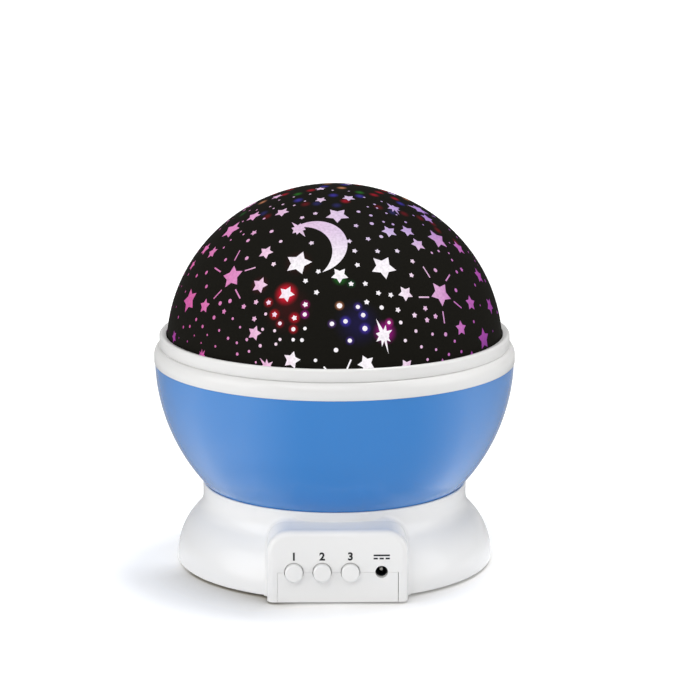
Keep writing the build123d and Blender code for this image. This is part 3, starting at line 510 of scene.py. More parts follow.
def make_blend(materials):
    """The hollow rounding between the panel and the flare, as a ball rolled along their meeting line."""
    offset = flare_side(-panel_blend, base_z - overcut)
    offset.append((offset[-1][0], rim_z))
    side_steps, steps = 14, 10
    shoulder = panel_top - panel_corner
    climb = [base_z + (shoulder - base_z) * k / side_steps for k in range(side_steps)]
    crown = arch(panel_half, base_z, panel_top, panel_corner)[1:-1]
    outline = [(panel_half, z) for z in climb] + crown + [(-panel_half, z) for z in reversed(climb)]
    rings = []
    for k, (x, z) in enumerate(outline):
        before, after = Vector(outline[max(k - 1, 0)]), Vector(outline[min(k + 1, len(outline) - 1)])
        along = (after - before).normalized()
        normal = Vector((along.y, -along.x))
        cx, cz = x + normal.x * panel_blend, z + normal.y * panel_blend
        reach, slope = outside_at(cz, offset)
        cy = -sqrt(reach ** 2 - cx ** 2)
        centre = Vector((cx, cy, cz))
        radial = Vector((cx, cy, 0)).normalized()
        to_panel = Vector((-normal.x, 0, -normal.y))
        to_flare = -(radial * slope.x + Vector((0, 0, slope.y)))
        ring = [centre + to_panel.slerp(to_flare, j / steps) * panel_blend for j in range(steps + 1)]
        ring.append(centre + (to_panel + to_flare) * panel_blend * blend_tail)
        rings.append(ring)
    blend = skinned("panel_blend", rings, blend_angle)
    link(paint(blend, materials["white_plastic"]), "base", ["base_housing"])


def make_panel(materials, neck_radius):
    """The arched panel: its front edge is rounded in steps, so that no bevel tool is needed."""
    steps = 8
    rings = []
    for k in range(steps + 1):
        turn = radians(90 * k / steps)
        shrink, back = panel_round * (1 - sin(turn)), panel_round * (1 - cos(turn))
        outline = arch(panel_half - shrink, base_z, panel_top - shrink, panel_corner - shrink)
        rings.append([(x, panel_y + back, z) for x, z in outline])
    rings.append([(x, panel_root_y, z) for x, z in arch(panel_half, base_z, panel_top, panel_corner)])
    panel = skinned("control_panel", rings, carved_angle)
    front, back = panel_y - overcut, panel_y + panel_wall + overcut
    low, high, clear = base_z - overcut, rim_z + overcut, neck_radius - neck_bite
    inner = arch(panel_half - panel_wall, low, panel_top - panel_wall, panel_corner - panel_wall)
    cutters = [
        prism_y("pocket", inner, panel_y + panel_wall, pocket_root_y),
        box_object("window", (insert_left, front, low), (insert_right, back, insert_top + insert_gap)),
        turned("neck_room", [(0, low), (clear, low), (clear, high), (0, high)], widest_steps),
        rod_y("socket_hole", socket_hole_radius, front, back, socket_x, control_z),
    ]
    for name in button_nodes:
        cutters.append(rod_y(name + "_hole", button_hole_radius, front, back, middle_x(name), control_z))
    carve(panel, cutters)
    smooth = panel.modifiers.new("even normals", "WEIGHTED_NORMAL")
    smooth.keep_sharp = True
    link(paint(panel, materials["white_plastic"]), "base", ["panel_face", "base_housing"])


def make_buttons(materials):
    """Caps with a rounded edge and a flat face, each with its flange and stem."""
    for name in button_nodes:
        low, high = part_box(name)
        face = low[1] / mm
        stem_end = high[1] / mm - face
        flange = panel_y + panel_wall + flange_gap - face
        edge = arc((button_radius - button_round, button_round), button_round, 0, -90, steps=8)
        profile = [
            (0, stem_end), (stem_radius, stem_end), (stem_radius, flange + flange_thickness),
            (flange_radius, flange + flange_thickness), (flange_radius, flange), (button_radius, flange),
        ] + edge + [(button_flat_radius, 0), (0, 0)]
        cap = turned(name.replace("button", "push_button"), profile, button_steps, soft_angle)
        place = Matrix.Translation((middle_x(name) * mm, low[1], control_z * mm))
        cap.data.transform(place @ Matrix.Rotation(radians(-90), 4, "X"))
        link(paint(cap, materials["white_plastic"]), name, [name])


def make_marks(material):
    """Plain numbers over the buttons and the sign for direct current over the socket."""
    for number, name in enumerate(button_nodes, 1):
        words = bpy.data.curves.new(f"mark {number}", "FONT")
        words.body, words.size = str(number), mark_height * text_size * mm
        words.align_x, words.align_y = "CENTER", "CENTER"
        words.extrude, words.offset = mark_depth * mm, mark_stroke * mm
        holder = bpy.data.objects.new(f"mark_{number}_text", words)
        bpy.context.scene.collection.objects.link(holder)
        mesh = bpy.data.meshes.new_from_object(holder.evaluated_get(bpy.context.evaluated_depsgraph_get()))
        bpy.data.objects.remove(holder)
        place = Matrix.Translation(Vector((middle_x(name), panel_y, mark_z)) * mm)
        mesh.transform(place @ Matrix.Rotation(radians(90), 4, "X"))
        link(paint(bpy.data.objects.new(f"mark_{number}", mesh), material), "base")
    bars = [(-sign_half_width, 2 * sign_half_width, sign_line_rise)]
    bars += [(-sign_half_width + dash_pitch * k, dash_length, sign_dash_rise) for k in range(3)]
    for k, (start, length, rise) in enumerate(bars):
        left, middle = socket_x + start, mark_z + rise
        low = (left, panel_y - mark_depth, middle - sign_half_thickness)
        high = (left + length, panel_y + mark_depth, middle + sign_half_thickness)
        link(paint(box_object(f"direct_current_{k}", low, high), material), "base")


# ---- windows of the dome
# Every window is placed by its turn round from the front and its tilt up, in degrees, with its
# radius in millimetres and, for a star, the turn of one point in degrees.
big_stars = [
    (-17, 40.5, 4.7, 9), (20, 38.6, 4.6, 53), (1, 36.2, 3, 53), (1, 62.8, 4.3, 52), (-34.4, 43.5, 2.8, 9),
    (-45.8, 32.7, 4.35, 39), (-31.2, 31.2, 3, 9), (-19.4, 29, 2.9, 71), (-70.6, 49, 4.4, 29),
    (-43.6, 62.5, 2.8, 19), (31, 52.9, 2.9, 25), (43, 52, 2.8, 18), (43.3, 45.7, 2.9, 21),
    (59.7, 45.9, 4.5, 6), (26.4, 28.5, 2.8, 42), (42.2, 26.7, 4.5, 40), (56.8, 21.2, 2.8, 6),
    (47.5, 14.1, 2.7, 11), (60.1, 8.3, 3.9, 17), (9.3, 6.4, 3, 41), (-66.1, 20.9, 4.5, 48),
    (-54.6, 20.9, 2.7, 26), (-29.2, 15.1, 2.6, 6), (-15.2, 7.4, 3, 5), (-64.7, 57.4, 3.1, 36),
    (-49.6, 50.6, 1.4, 6), (-79.5, 38.5, 2.9, 21), (-68.9, 38.9, 2.7, 43), (-81.6, 31.3, 2.4, 16),
    (-17.5, 72.9, 2.2, 70), (17.2, 74.3, 2.5, 36), (72.9, 39.9, 3.2, 69), (72.4, 54.6, 2.9, 43),
    (71.9, 17.5, 3.2, 44), (23, 4.6, 2.6, 46), (-72.2, 7.1, 2.4, 44), (-82, 69.3, 2.4, 61),
    (-46, 83, 2.1, 63), (51.4, 3.9, 2.1, 17), (74, 28.2, 3.2, 2), (37, 4, 1.7, 14), (6.5, 49.7, 1.1, 0),
]
small_stars = [  # all of one radius, each with a spin drawn at random
    (-12.8, 48.8), (-7.8, 37.5), (-12.6, 33.9), (-28.1, 39.3), (16.8, 50.4), (8.5, 45.5), (19.5, 44.9),
    (8.8, 39.9), (31.5, 34.6), (34.8, 39.6), (29.5, 44.3), (-30.8, 25.3), (-25.7, 25.6), (-22.6, 21.8),
    (-15.2, 21.1), (-11.7, 25.7), (-7.9, 30), (5.4, 33), (11, 32.9), (15.6, 29.4), (20.3, 28.4),
    (10.7, 26.5), (22, 23.2), (28.1, 20.9), (33.1, 22.7), (32.8, 18.8), (36.7, 19.6), (61.2, 32.8),
    (-35.5, 23.3), (-43.7, 20.6), (-30.1, 19.7), (12.3, 56.9), (-15.9, 63.6), (-24.2, 60.8),
]
dots = [
    (-49.2, 47, 0.7), (-38.5, 52.5, 0.7), (-29.4, 48.6, 0.6), (-43, 40.2, 0.7), (-55, 38, 0.6),
    (-62.4, 42, 0.45), (-62, 45.5, 0.4), (-60.3, 49.8, 0.4), (-56, 49, 0.4), (-69, 53.8, 0.4),
    (-52.6, 57.7, 0.5), (-72, 60.4, 0.4), (-80, 58.6, 0.4), (-62.7, 64, 0.4), (-56, 63.6, 0.4),
    (-52.8, 66.8, 0.5), (-66.6, 68.5, 0.4), (-39.8, 67.4, 0.45), (-56, 72.6, 0.4), (-34, 71, 0.4),
    (-41, 76.8, 0.4), (-6, 82.3, 0.4), (-79.5, 28, 0.5), (-69.3, 29.4, 0.65), (-62.8, 31.7, 0.7),
    (-58, 27.3, 0.65), (24.6, 51, 0.65), (23, 57.5, 0.7), (26, 61.8, 0.6), (18.2, 64.5, 0.65),
    (29.4, 67, 0.4), (38.7, 68, 0.45), (36.8, 65.6, 0.4), (40, 62, 0.45), (47, 60.3, 0.35),
    (31.8, 57.8, 0.45), (37, 56, 0.5), (47.8, 56, 0.5), (61.8, 58, 0.4), (60, 53, 0.35), (51, 69, 0.4),
    (38.4, 73.7, 0.4), (30.6, 80.5, 0.35), (48.3, 41.5, 0.45), (53.5, 41.5, 0.5), (59.7, 39.7, 0.4),
    (67.5, 43, 0.35), (58.5, 37, 0.5), (56.8, 32.6, 0.6), (44.5, 35, 0.7), (65.4, 26.2, 0.55),
    (-11.6, 22.4, 0.65), (-20.2, 19, 0.6), (-15.2, 17.4, 0.65), (-21.8, 16.5, 0.5), (-11.2, 17.8, 0.55),
    (-26, 21.7, 0.5), (-26.3, 16.6, 0.5), (-42.3, 24.4, 0.7), (-46.7, 23, 0.7), (-47.8, 18, 0.65),
    (-39, 18.8, 0.45), (-35.2, 16.4, 0.4), (-44, 14.2, 0.45), (-39.5, 12.2, 0.5), (-35.6, 11.2, 0.45),
    (-31.8, 12.7, 0.5), (-26.5, 11.2, 0.55), (-20.9, 12.2, 0.5), (-19.6, 13.8, 0.5), (-15, 14, 0.55),
    (-12, 14, 0.6), (-30.5, 9, 0.45), (-35, 7.6, 0.5), (-44.7, 8.8, 0.4), (-49.4, 11.9, 0.35),
    (-52.7, 14.2, 0.55), (-57.3, 15.8, 0.55), (-60.4, 12.9, 0.5), (-65, 11.8, 0.5), (-71.4, 14, 0.5),
    (-56.5, 10.5, 0.3), (-60.4, 7.8, 0.35), (-52, 8.8, 0.3), (-67.3, 7.7, 0.3), (-77.3, 16.5, 0.35),
    (-72.8, 22.8, 0.4), (-81, 23.2, 0.4), (-27.7, 5.7, 0.35), (-7.3, 7.6, 0.55), (16, 24.4, 0.7),
    (7.3, 25, 0.65), (9, 22.2, 0.7), (2.7, 20.3, 0.7), (9.3, 17.8, 0.8), (18, 19.3, 0.55), (22.3, 19, 0.6),
    (27.6, 15.7, 0.55), (34, 14, 0.5), (39.6, 13.2, 0.65), (23.2, 13, 0.55), (29, 10.4, 0.5),
    (34.7, 8.8, 0.45), (43.3, 10.4, 0.5), (40, 6.5, 0.5), (46, 6.5, 0.5), (31, 6, 0.45), (55.4, 15, 0.5),
    (68.6, 9.3, 0.4), (63, 19.3, 0.35), (50.8, 26.7, 0.65), (4, 14, 0.65), (-0.6, 11, 0.7), (-2, 19.5, 0.7),
    (0.7, 25.5, 0.85),
]
rays = [  # both ends of each stroke round the two rayed stars, and at the dome's lower edge
    (-49.2, 38.5, -49.8, 42.6), (-40.7, 35.5, -36.1, 37.3), (-58.9, 34.2, -53.6, 33.4),
    (-48.3, 27.5, -50.9, 24.0), (-41.6, 28.6, -38.0, 25.8), (38.9, 37.1, 39.9, 32.8),
    (51.5, 32.4, 47.4, 30.6), (31.6, 26.7, 36.1, 26.2), (47.3, 23.3, 50.4, 20.5),
    (40.5, 20.8, 40.0, 16.8), (-4.6, 5.6, -3.2, 4.0), (4.3, 7.9, 2.6, 4.0),
]
ray_width = 0.52
dot_growth = 1.12
star_points = 5
star_root = 0.54
small_star_radius = 1.0
small_star_root = 0.62
moon_place = (-3.5, 48.6)
moon_radius, moon_centre = 11.8, (-5.8, -0.4)
moon_bite_radius, moon_bite_centre = 12.2, (-11.2, -3.4)
bursts = [  # turn, tilt, each spike as (angle, length), and the radius between the spikes
    (-22.5, 55.0,
     [(140, 4.9), (97, 2.8), (45, 2.2), (-2, 2.6), (-45, 5.0), (-85, 2.9), (-122, 2.9), (176, 2.8)], 1.9),
    (15.7, 15.2,
     [(110, 6.2), (74, 3.6), (29, 3.5), (-12, 1.9), (-45, 3.1), (-79, 6.4), (-104, 3.8), (-146, 3.3),
      (163, 2.8)], 1.8),
    (52.7, 64.0,
     [(83, 3.8), (48, 2.3), (-12, 2.9), (-66, 2.6), (-113, 4.6), (-148, 3.4), (170, 3.0)], 1.5),
    (-23.7, 4.4, [(132, 4.1), (93, 2.9), (45, 3.0), (10, 2.0), (170, 2.0)], 1.5),
    (-51.0, 4.4, [(130, 2.2), (95, 2.8), (60, 3.0), (20, 1.8), (160, 1.8)], 1.3),
    (80.0, 59.0, [(120, 5.4), (60, 3.2), (0, 3.5), (-60, 5.1), (-110, 3.2), (180, 3.5)], 2.1),
]
disc_edge = 0.999        # of the flat disc's radius, as far out as a window goes
filler_count = 26        # dots on each side that the pattern leaves bare
filler_spread = 11       # degrees round, either way from the middle of that side
filler_low, filler_high = 6, 58
filler_sizes = (0.35, 0.45, 0.6, 0.7)


def compass(turn, tilt):
    """Outward, sideways and upward directions at a place on the dome."""
    t, u = radians(turn), radians(tilt)
    out = Vector((sin(t) * cos(u), -cos(t) * cos(u), sin(u)))
    side = Vector((cos(t), sin(t), 0))
    return out, side, out.cross(side)


def flat_map(direction):
    """A direction from the dome's centre as a point of a flat disc whose rim is the dome's edge."""
    tilt = atan2(direction.z, hypot(direction.x, direction.y))
    reach = (pi / 2 - tilt) / (pi / 2)
    turn = atan2(direction.y, direction.x)
    return (reach * cos(turn), reach * sin(turn))


def dome_point(flat, radius, semi_height):
    """The place on an ellipsoid over a point of the flat disc."""
    reach = min(1.0, hypot(*flat))
    tilt, turn = (1 - reach) * pi / 2, atan2(flat[1], flat[0])
    out = Vector((cos(tilt) * cos(turn), cos(tilt) * sin(turn), sin(tilt)))
    scale = 1 / sqrt((cos(tilt) / radius) ** 2 + (out.z / semi_height) ** 2)
    return out * scale + Vector((0, 0, dome_z))


def held_in(point):
    """A point of the flat disc, moved in if it lies past the edge."""
    x, y = point
    reach = hypot(x, y)
    if reach < disc_edge:
        return point
    return (x * disc_edge / reach, y * disc_edge / reach)


def placed(turn, tilt, outline):
    """An outline in millimetres, laid on the dome at a place, as points of the flat disc."""
    out, side, up = compass(turn, tilt)
    return [held_in(flat_map(out * dome_radius + side * x + up * y)) for x, y in outline]


def dot_outline(radius):
    """A small disc, drawn with eight sides."""
    return [(radius * cos(pi * k / 4), radius * sin(pi * k / 4)) for k in range(8)]


def star_outline(radius, root, spin):
    """A star of straight-sided points."""
    corners = []
    for k in range(star_points):
        tip, notch = (radians(spin + 360 * turn / star_points) for turn in (k, k + 0.5))
        corners += [(radius * cos(tip), radius * sin(tip)), (root * cos(notch), root * sin(notch))]
    return corners


def burst_outline(spikes, root):
    """A star of uneven spikes, taken anticlockwise."""
    ordered = sorted((angle % 360, length) for angle, length in spikes)
    corners = []
    for (angle, length), (after, _) in zip(ordered, ordered[1:] + [(ordered[0][0] + 360, 0)]):
        tip, notch = radians(angle), radians((angle + after) / 2)
        corners += [(length * cos(tip), length * sin(tip)), (root * cos(notch), root * sin(notch))]
    return corners


def moon_outline():
    """The crescent left when one disc is taken from another."""
    (ax, ay), (bx, by) = moon_centre, moon_bite_centre
    gap = hypot(bx - ax, by - ay)
    lean = atan2(by - ay, bx - ax)
    outer_half = acos((gap ** 2 + moon_radius ** 2 - moon_bite_radius ** 2) / (2 * gap * moon_radius))
    inner_half = acos((gap ** 2 + moon_bite_radius ** 2 - moon_radius ** 2) / (2 * gap * moon_bite_radius))
    rim_steps, bite_steps = 40, 30
    outer = [lean + outer_half + (2 * pi - 2 * outer_half) * k / rim_steps for k in range(rim_steps + 1)]
    inner = [lean + pi + inner_half - 2 * inner_half * k / bite_steps for k in range(bite_steps + 1)]
    rim = [(ax + moon_radius * cos(t), ay + moon_radius * sin(t)) for t in outer]
    bite = [(bx + moon_bite_radius * cos(t), by + moon_bite_radius * sin(t)) for t in inner]
    return rim + bite[1:-1]


def ray_outline(ends):
    """A stroke between two places, as points of the flat disc."""
    a, b = compass(*ends[:2])[0] * dome_radius, compass(*ends[2:])[0] * dome_radius
    across = (a + b).cross(b - a).normalized() * ray_width / 2
    return [flat_map(p) for p in (a + across, a - across, b - across, b + across)]


def front_windows():
    """Outlines of the windows seen from the front, on the flat disc."""
    made = [placed(*moon_place, moon_outline())]
    made += [placed(turn, tilt, burst_outline(spikes, root)) for turn, tilt, spikes, root in bursts]
    made += [placed(turn, tilt, star_outline(r, r * star_root, spin)) for turn, tilt, r, spin in big_stars]
    random.seed(5)
    small_root = small_star_radius * small_star_root
    for turn, tilt in small_stars:
        spin = random.uniform(0, 360 / star_points)
        made.append(placed(turn, tilt, star_outline(small_star_radius, small_root, spin)))
    made += [placed(turn, tilt, dot_outline(size * dot_growth)) for turn, tilt, size in dots]
    return made + [ray_outline(ends) for ends in rays]


def turned_half(outline):
    """The same outline on the dome's other side."""
    return [(-x, -y) for x, y in outline]


def filler_windows():
    """Scattered dots for the two sides that the pattern and its copy leave bare."""
    random.seed(11)
    made = []
    for middle in (-90, 90):
        for _ in range(filler_count):
            turn = middle + random.uniform(-filler_spread, filler_spread)
            tilt = random.uniform(filler_low, filler_high)
            made.append(placed(turn, tilt, dot_outline(random.choice(filler_sizes))))
    return made


def dome_grid():
    """Points all over the flat disc, close enough for a smooth dome, and how many lie on its rim."""
    points = [(0.0, 0.0)]
    for k in range(1, dome_rings + 1):
        reach, at_rim = k / dome_rings, k == dome_rings
        tilt = (1 - reach) * pi / 2
        count = inner_steps if at_rim else max(8, int(inner_steps * cos(tilt)))
        shift = 0 if at_rim else 0.5 * (k % 2)
        turns = [2 * pi * (j + shift) / count for j in range(count)]
        points += [(reach * cos(t), reach * sin(t)) for t in turns]
    return points, count


def make_mask(material):
    """The black skin: a disc with the windows cut out, laid over the dome and given a thickness."""
    windows = front_windows()
    windows += [turned_half(outline) for outline in windows] + filler_windows()
    grid, rim_count = dome_grid()
    points = [Vector(p) for p in grid]
    first = len(points) - rim_count
    rim = [(first + k, first + (k + 1) % rim_count) for k in range(rim_count)]
    outlines = []
    for outline in windows:
        outlines.append(list(range(len(points), len(points) + len(outline))))
        points += [Vector(p) for p in outline]
    whole_disc, closeness = 0, 1e-6
    flat, _, triangles, _, _, sources = delaunay_2d_cdt(points, rim, outlines, whole_disc, closeness)
    kept = [t for t, source in zip(triangles, sources) if not source]
    used = sorted({i for t in kept for i in t})
    index = {old: new for new, old in enumerate(used)}
    count = len(used)
    outer = [dome_point(flat[i], dome_radius, dome_semi_height) for i in used]
    inner = [dome_point(flat[i], dome_radius - mask_film, dome_semi_height - mask_film) for i in used]
    faces = [tuple(index[i] for i in t) for t in kept]
    edges = dict.fromkeys((t[k], t[(k + 1) % 3]) for t in faces for k in range(3))
    walls = [(b, a, a + count, b + count) for a, b in edges if (b, a) not in edges]
    back = [tuple(i + count for i in reversed(t)) for t in faces]
    mask = mesh_object("black_mask", outer + inner, faces + back + walls, soft_angle)
    link(paint(mask, material), "cover", ["star_mask"])


def make_frost(material):
    """The frosted dome behind the windows."""
    outer_radius = dome_radius - mask_film - frost_gap
    outer_semi = dome_semi_height - mask_film - frost_gap
    inner_radius, inner_semi = outer_radius - frost_wall, outer_semi - frost_wall
    outer = ellipse(outer_radius, outer_semi, dome_z, dome_z, dome_z + outer_semi, steps=64)
    inner = ellipse(inner_radius, inner_semi, dome_z, dome_z + inner_semi, dome_z)
    frost = turned("frosted_dome", outer + inner, inner_steps)
    link(paint(frost, material), "cover", ["dome_diffuser"])


# ---- shader nodes
def node(tree, kind, **settings):
    """A new shader node with its plain settings."""
    made = tree.nodes.new(kind)
    for key, value in settings.items():
        setattr(made, key, value)
    return made


def feed(tree, term, socket):
    """Links an output to a socket, or gives the socket a plain value."""
    if isinstance(term, bpy.types.NodeSocket):
        tree.links.new(term, socket)
    else:
        socket.default_value = term


def arithmetic(tree, operation, *terms):
    """One operation on outputs and plain numbers."""
    made = node(tree, "ShaderNodeMath", operation=operation)
    for term, socket in zip(terms, made.inputs):
        feed(tree, term, socket)
    return made.outputs[0]


def vector_arithmetic(tree, operation, first, second):
    """One operation on vectors or colours, where the second term of SCALE is a number."""
    made = node(tree, "ShaderNodeVectorMath", operation=operation)
    feed(tree, first, made.inputs[0])
    feed(tree, second, made.inputs["Scale"] if operation == "SCALE" else made.inputs[1])
    return made.outputs["Value"] if operation == "DISTANCE" else made.outputs[0]


def remap(tree, value, low, high, to_low=0.0, to_high=1.0, **settings):
    """A value taken from one range to another, and held within it."""
    made = node(tree, "ShaderNodeMapRange", **settings)
    feed(tree, value, made.inputs["Value"])
    for name, end in (("From Min", low), ("From Max", high), ("To Min", to_low), ("To Max", to_high)):
        made.inputs[name].default_value = end
    return made.outputs["Result"]


def mixed(tree, share, first, second):
    """The first colour where the share is 0, the second where it is 1."""
    made = node(tree, "ShaderNodeMix", data_type="RGBA")
    feed(tree, share, made.inputs["Factor"])
    feed(tree, first, made.inputs[6])
    feed(tree, second, made.inputs[7])
    return made.outputs[2]


def colour_ramp(tree, value, stops):
    """A colour by value, from (place, colour) stops."""
    ramp = node(tree, "ShaderNodeValToRGB")
    while len(ramp.color_ramp.elements) < len(stops):
        ramp.color_ramp.elements.new(0.5)
    for element, (place, colour) in zip(ramp.color_ramp.elements, stops):
        element.position, element.color = place, (*colour, 1)
    tree.links.new(value, ramp.inputs["Fac"])
    return ramp.outputs["Color"]


# ---- lit materials of the dome
# Colours of the lamps' light, painted as a glow across the frosted dome, from its left edge at 0 to its
# right edge at 1, low down and high up. They are given as they show on a screen, 0 to 255.
low_glow_colours = [
    (0.0, (150, 30, 140)), (0.08, (210, 88, 160)), (0.22, (222, 138, 196)), (0.31, (246, 215, 236)),
    (0.38, (252, 248, 252)), (0.66, (252, 246, 252)), (0.76, (228, 182, 220)), (0.85, (192, 102, 184)),
    (0.93, (156, 50, 156)), (1.0, (118, 32, 132)),
]
high_glow_colours = [
    (0.0, (205, 90, 170)), (0.2, (220, 132, 192)), (0.36, (226, 190, 222)), (0.5, (222, 198, 228)),
    (0.64, (196, 168, 222)), (0.78, (158, 116, 199)), (1.0, (136, 86, 186)),
]
colour_reach = 58.0      # half of the width that the colours spread over
edge_height = 12.0       # up from the dome's edge, where the side colours reach further in
edge_squeeze = 1.25      # how much narrower the colours lie at the edge itself
high_from, high_full = 111.0, 124.0  # heights where the upper colours start and where they are full
mottle_scale, mottle_detail = 1100, 3
mottle_from, mottle_full = 0.3, 0.7
mottle_dark, mottle_bright = 0.84, 1.1


def linear(levels):
    """A screen colour as the renderer's own numbers."""
    shares = [level / 255 for level in levels]
    return tuple(((s + 0.055) / 1.055) ** 2.4 if s > 0.04045 else s / 12.92 for s in shares)


def frost_material():
    """The lamps' light through the frosted dome, painted as a glow: white in front, pink to the left and
    violet to the right.
    """
    material = shader("frosted dome", (0.02, 0.02, 0.02), 0.5, Specular_IOR_Level=0.1, Emission_Strength=1.0)
    tree = material.node_tree
    place = node(tree, "ShaderNodeTexCoord").outputs["Object"]
    split = node(tree, "ShaderNodeSeparateXYZ")
    tree.links.new(place, split.inputs[0])
    squeeze = remap(tree, split.outputs["Z"], dome_z * mm, (dome_z + edge_height) * mm, edge_squeeze, 1.0)
    sideways = arithmetic(tree, "MULTIPLY", split.outputs["X"], squeeze)
    across = remap(tree, sideways, -colour_reach * mm, colour_reach * mm)
    low = colour_ramp(tree, across, [(share, linear(levels)) for share, levels in low_glow_colours])
    high = colour_ramp(tree, across, [(share, linear(levels)) for share, levels in high_glow_colours])
    upward = remap(tree, split.outputs["Z"], high_from * mm, high_full * mm, interpolation_type="SMOOTHSTEP")
    noise = node(tree, "ShaderNodeTexNoise")
    noise.inputs["Scale"].default_value = mottle_scale
    noise.inputs["Detail"].default_value = mottle_detail
    tree.links.new(place, noise.inputs["Vector"])
    mottle = remap(tree, noise.outputs["Fac"], mottle_from, mottle_full, mottle_dark, mottle_bright)
    glow = vector_arithmetic(tree, "SCALE", mixed(tree, upward, low, high), mottle)
    tree.links.new(glow, tree.nodes["Principled BSDF"].inputs["Emission Color"])
    return material


glows = [  # turn, tilt, reach in millimetres, colour: light that spreads over the black skin
    (-19.4, 29.0, 4.6, (0.95, 0.005, 0.04)), (-25.7, 25.6, 2.1, (0.40, 0.0, 0.016)),
    (-22.6, 21.8, 2.3, (0.55, 0.0, 0.015)), (-15.2, 21.1, 2.4, (0.55, 0.0, 0.02)),
    (-15.2, 17.4, 2.0, (0.45, 0.0, 0.015)), (-20.2, 18.9, 1.9, (0.25, 0.0, 0.015)),
    (-11.7, 25.7, 2.0, (0.35, 0.0, 0.15)), (-11.6, 22.4, 1.9, (0.35, 0.0, 0.25)),
    (-17.0, 40.5, 5.8, (0.02, 0.0, 0.002)), (-31.2, 31.2, 3.9, (0.05, 0.0, 0.006)),
    (-18.0, 24.0, 9.5, (0.026, 0.0, 0.002)),
    (1.1, 35.0, 3.1, (0.006, 0.12, 0.012)), (5.4, 33.0, 1.9, (0.0, 0.07, 0.02)),
    (0.7, 25.5, 1.9, (0.55, 0.22, 0.10)),
    (2.7, 20.3, 2.3, (0.05, 0.03, 0.40)), (9.0, 22.2, 2.1, (0.05, 0.035, 0.34)),
    (9.3, 17.8, 2.4, (0.06, 0.03, 0.36)), (7.3, 25.1, 1.9, (0.05, 0.025, 0.24)),
    (4.1, 14.0, 1.8, (0.06, 0.025, 0.24)), (-2.0, 19.5, 1.8, (0.12, 0.05, 0.24)),
    (7.0, 19.5, 9.0, (0.005, 0.003, 0.042)),
    (16.2, 16.2, 4.6, (0.34, 0.0, 0.23)), (18.1, 19.3, 1.9, (0.4, 0.014, 0.22)),
]
top_glows = [  # smaller coloured spots near the top, where the lamps show through the film
    (-43, 71, "blue"), (-30, 69, "dark red"), (-60, 75, "green"), (-56, 80, "red"), (-79, 72, "red"),
    (-84, 64, "orange"), (-52, 59, "dark red"), (-59, 60, "dark blue"), (-3, 77, "blue"),
    (29, 85, "orange"), (-19, 70, "dark blue"), (1, 69, "dark blue"), (-63, 86, "blue"),
    (-82, 56, "dark green"), (11, 72, "red"), (35, 75, "blue"), (46, 78, "green"), (59, 74, "red"),
    (79, 74, "red"), (76, 68, "red"), (69, 65, "blue"), (39, 66, "dark red"), (55, 60, "dark red"),
    (65, 56, "dark red"), (71, 52, "dark red"), (68, 49, "dark red"), (75, 42, "dark red"),
    (46, 62, "dark blue"),
]
glow_colours = {
    "red": (0.3, 0.0, 0.015), "blue": (0.035, 0.025, 0.27), "green": (0.012, 0.12, 0.012),
    "orange": (0.45, 0.18, 0.09), "dark red": (0.1, 0.0, 0.006), "dark blue": (0.014, 0.014, 0.09),
    "dark green": (0.006, 0.06, 0.012),
}
top_glow_reach = 2.2


def mask_material():
    """Matt black film, with the lamps' light spreading over it round some of the windows."""
    material = shader("black film", mask_black, 0.6, Specular_IOR_Level=0.01, Emission_Strength=1.0)
    tree = material.node_tree
    place = node(tree, "ShaderNodeTexCoord").outputs["Object"]
    spots = glows + [(turn, tilt, top_glow_reach, glow_colours[name]) for turn, tilt, name in top_glows]
    spots += [(turn + 180, tilt, reach, colour) for turn, tilt, reach, colour in spots]
    total = (0.0, 0.0, 0.0)
    for turn, tilt, reach, colour in spots:
        out = compass(turn, tilt)[0]
        centre = dome_point(flat_map(out), dome_radius, dome_semi_height) * mm
        away = vector_arithmetic(tree, "DISTANCE", place, centre)
        fade = remap(tree, away, 0.0, reach * mm, 1.0, 0.0, interpolation_type="SMOOTHSTEP")
        total = vector_arithmetic(tree, "ADD", total, vector_arithmetic(tree, "SCALE", colour, fade))
    tree.links.new(total, tree.nodes["Principled BSDF"].inputs["Emission Color"])
    return material


# ---- CAD nodes that stay as they are
def dress_cad(materials):
    """Every CAD node takes the plain material of its slot, if the slot has one."""
    for part in frame["record"]["subparts"]:
        slot = part["material_slot"]
        if slot in materials:
            paint(frame["nodes"][part["node"]], materials[slot])


# ---- stage, light and camera
def bearing(tree, vector):
    """How far round from the front a direction or a place lies, in radians, positive to the right."""
    split = node(tree, "ShaderNodeSeparateXYZ")
    tree.links.new(vector, split.inputs[0])
    ahead = arithmetic(tree, "MULTIPLY", split.outputs["Y"], -1)
    return arithmetic(tree, "ARCTAN2", split.outputs["X"], ahead)


def level_round(tree, vector, levels):
    """A grey level by bearing, from (degrees, level) stops."""
    share = remap(tree, bearing(tree, vector), -pi, pi)
    return colour_ramp(tree, share, [((turn + 180) / 360, (v, v, v)) for turn, v in levels])


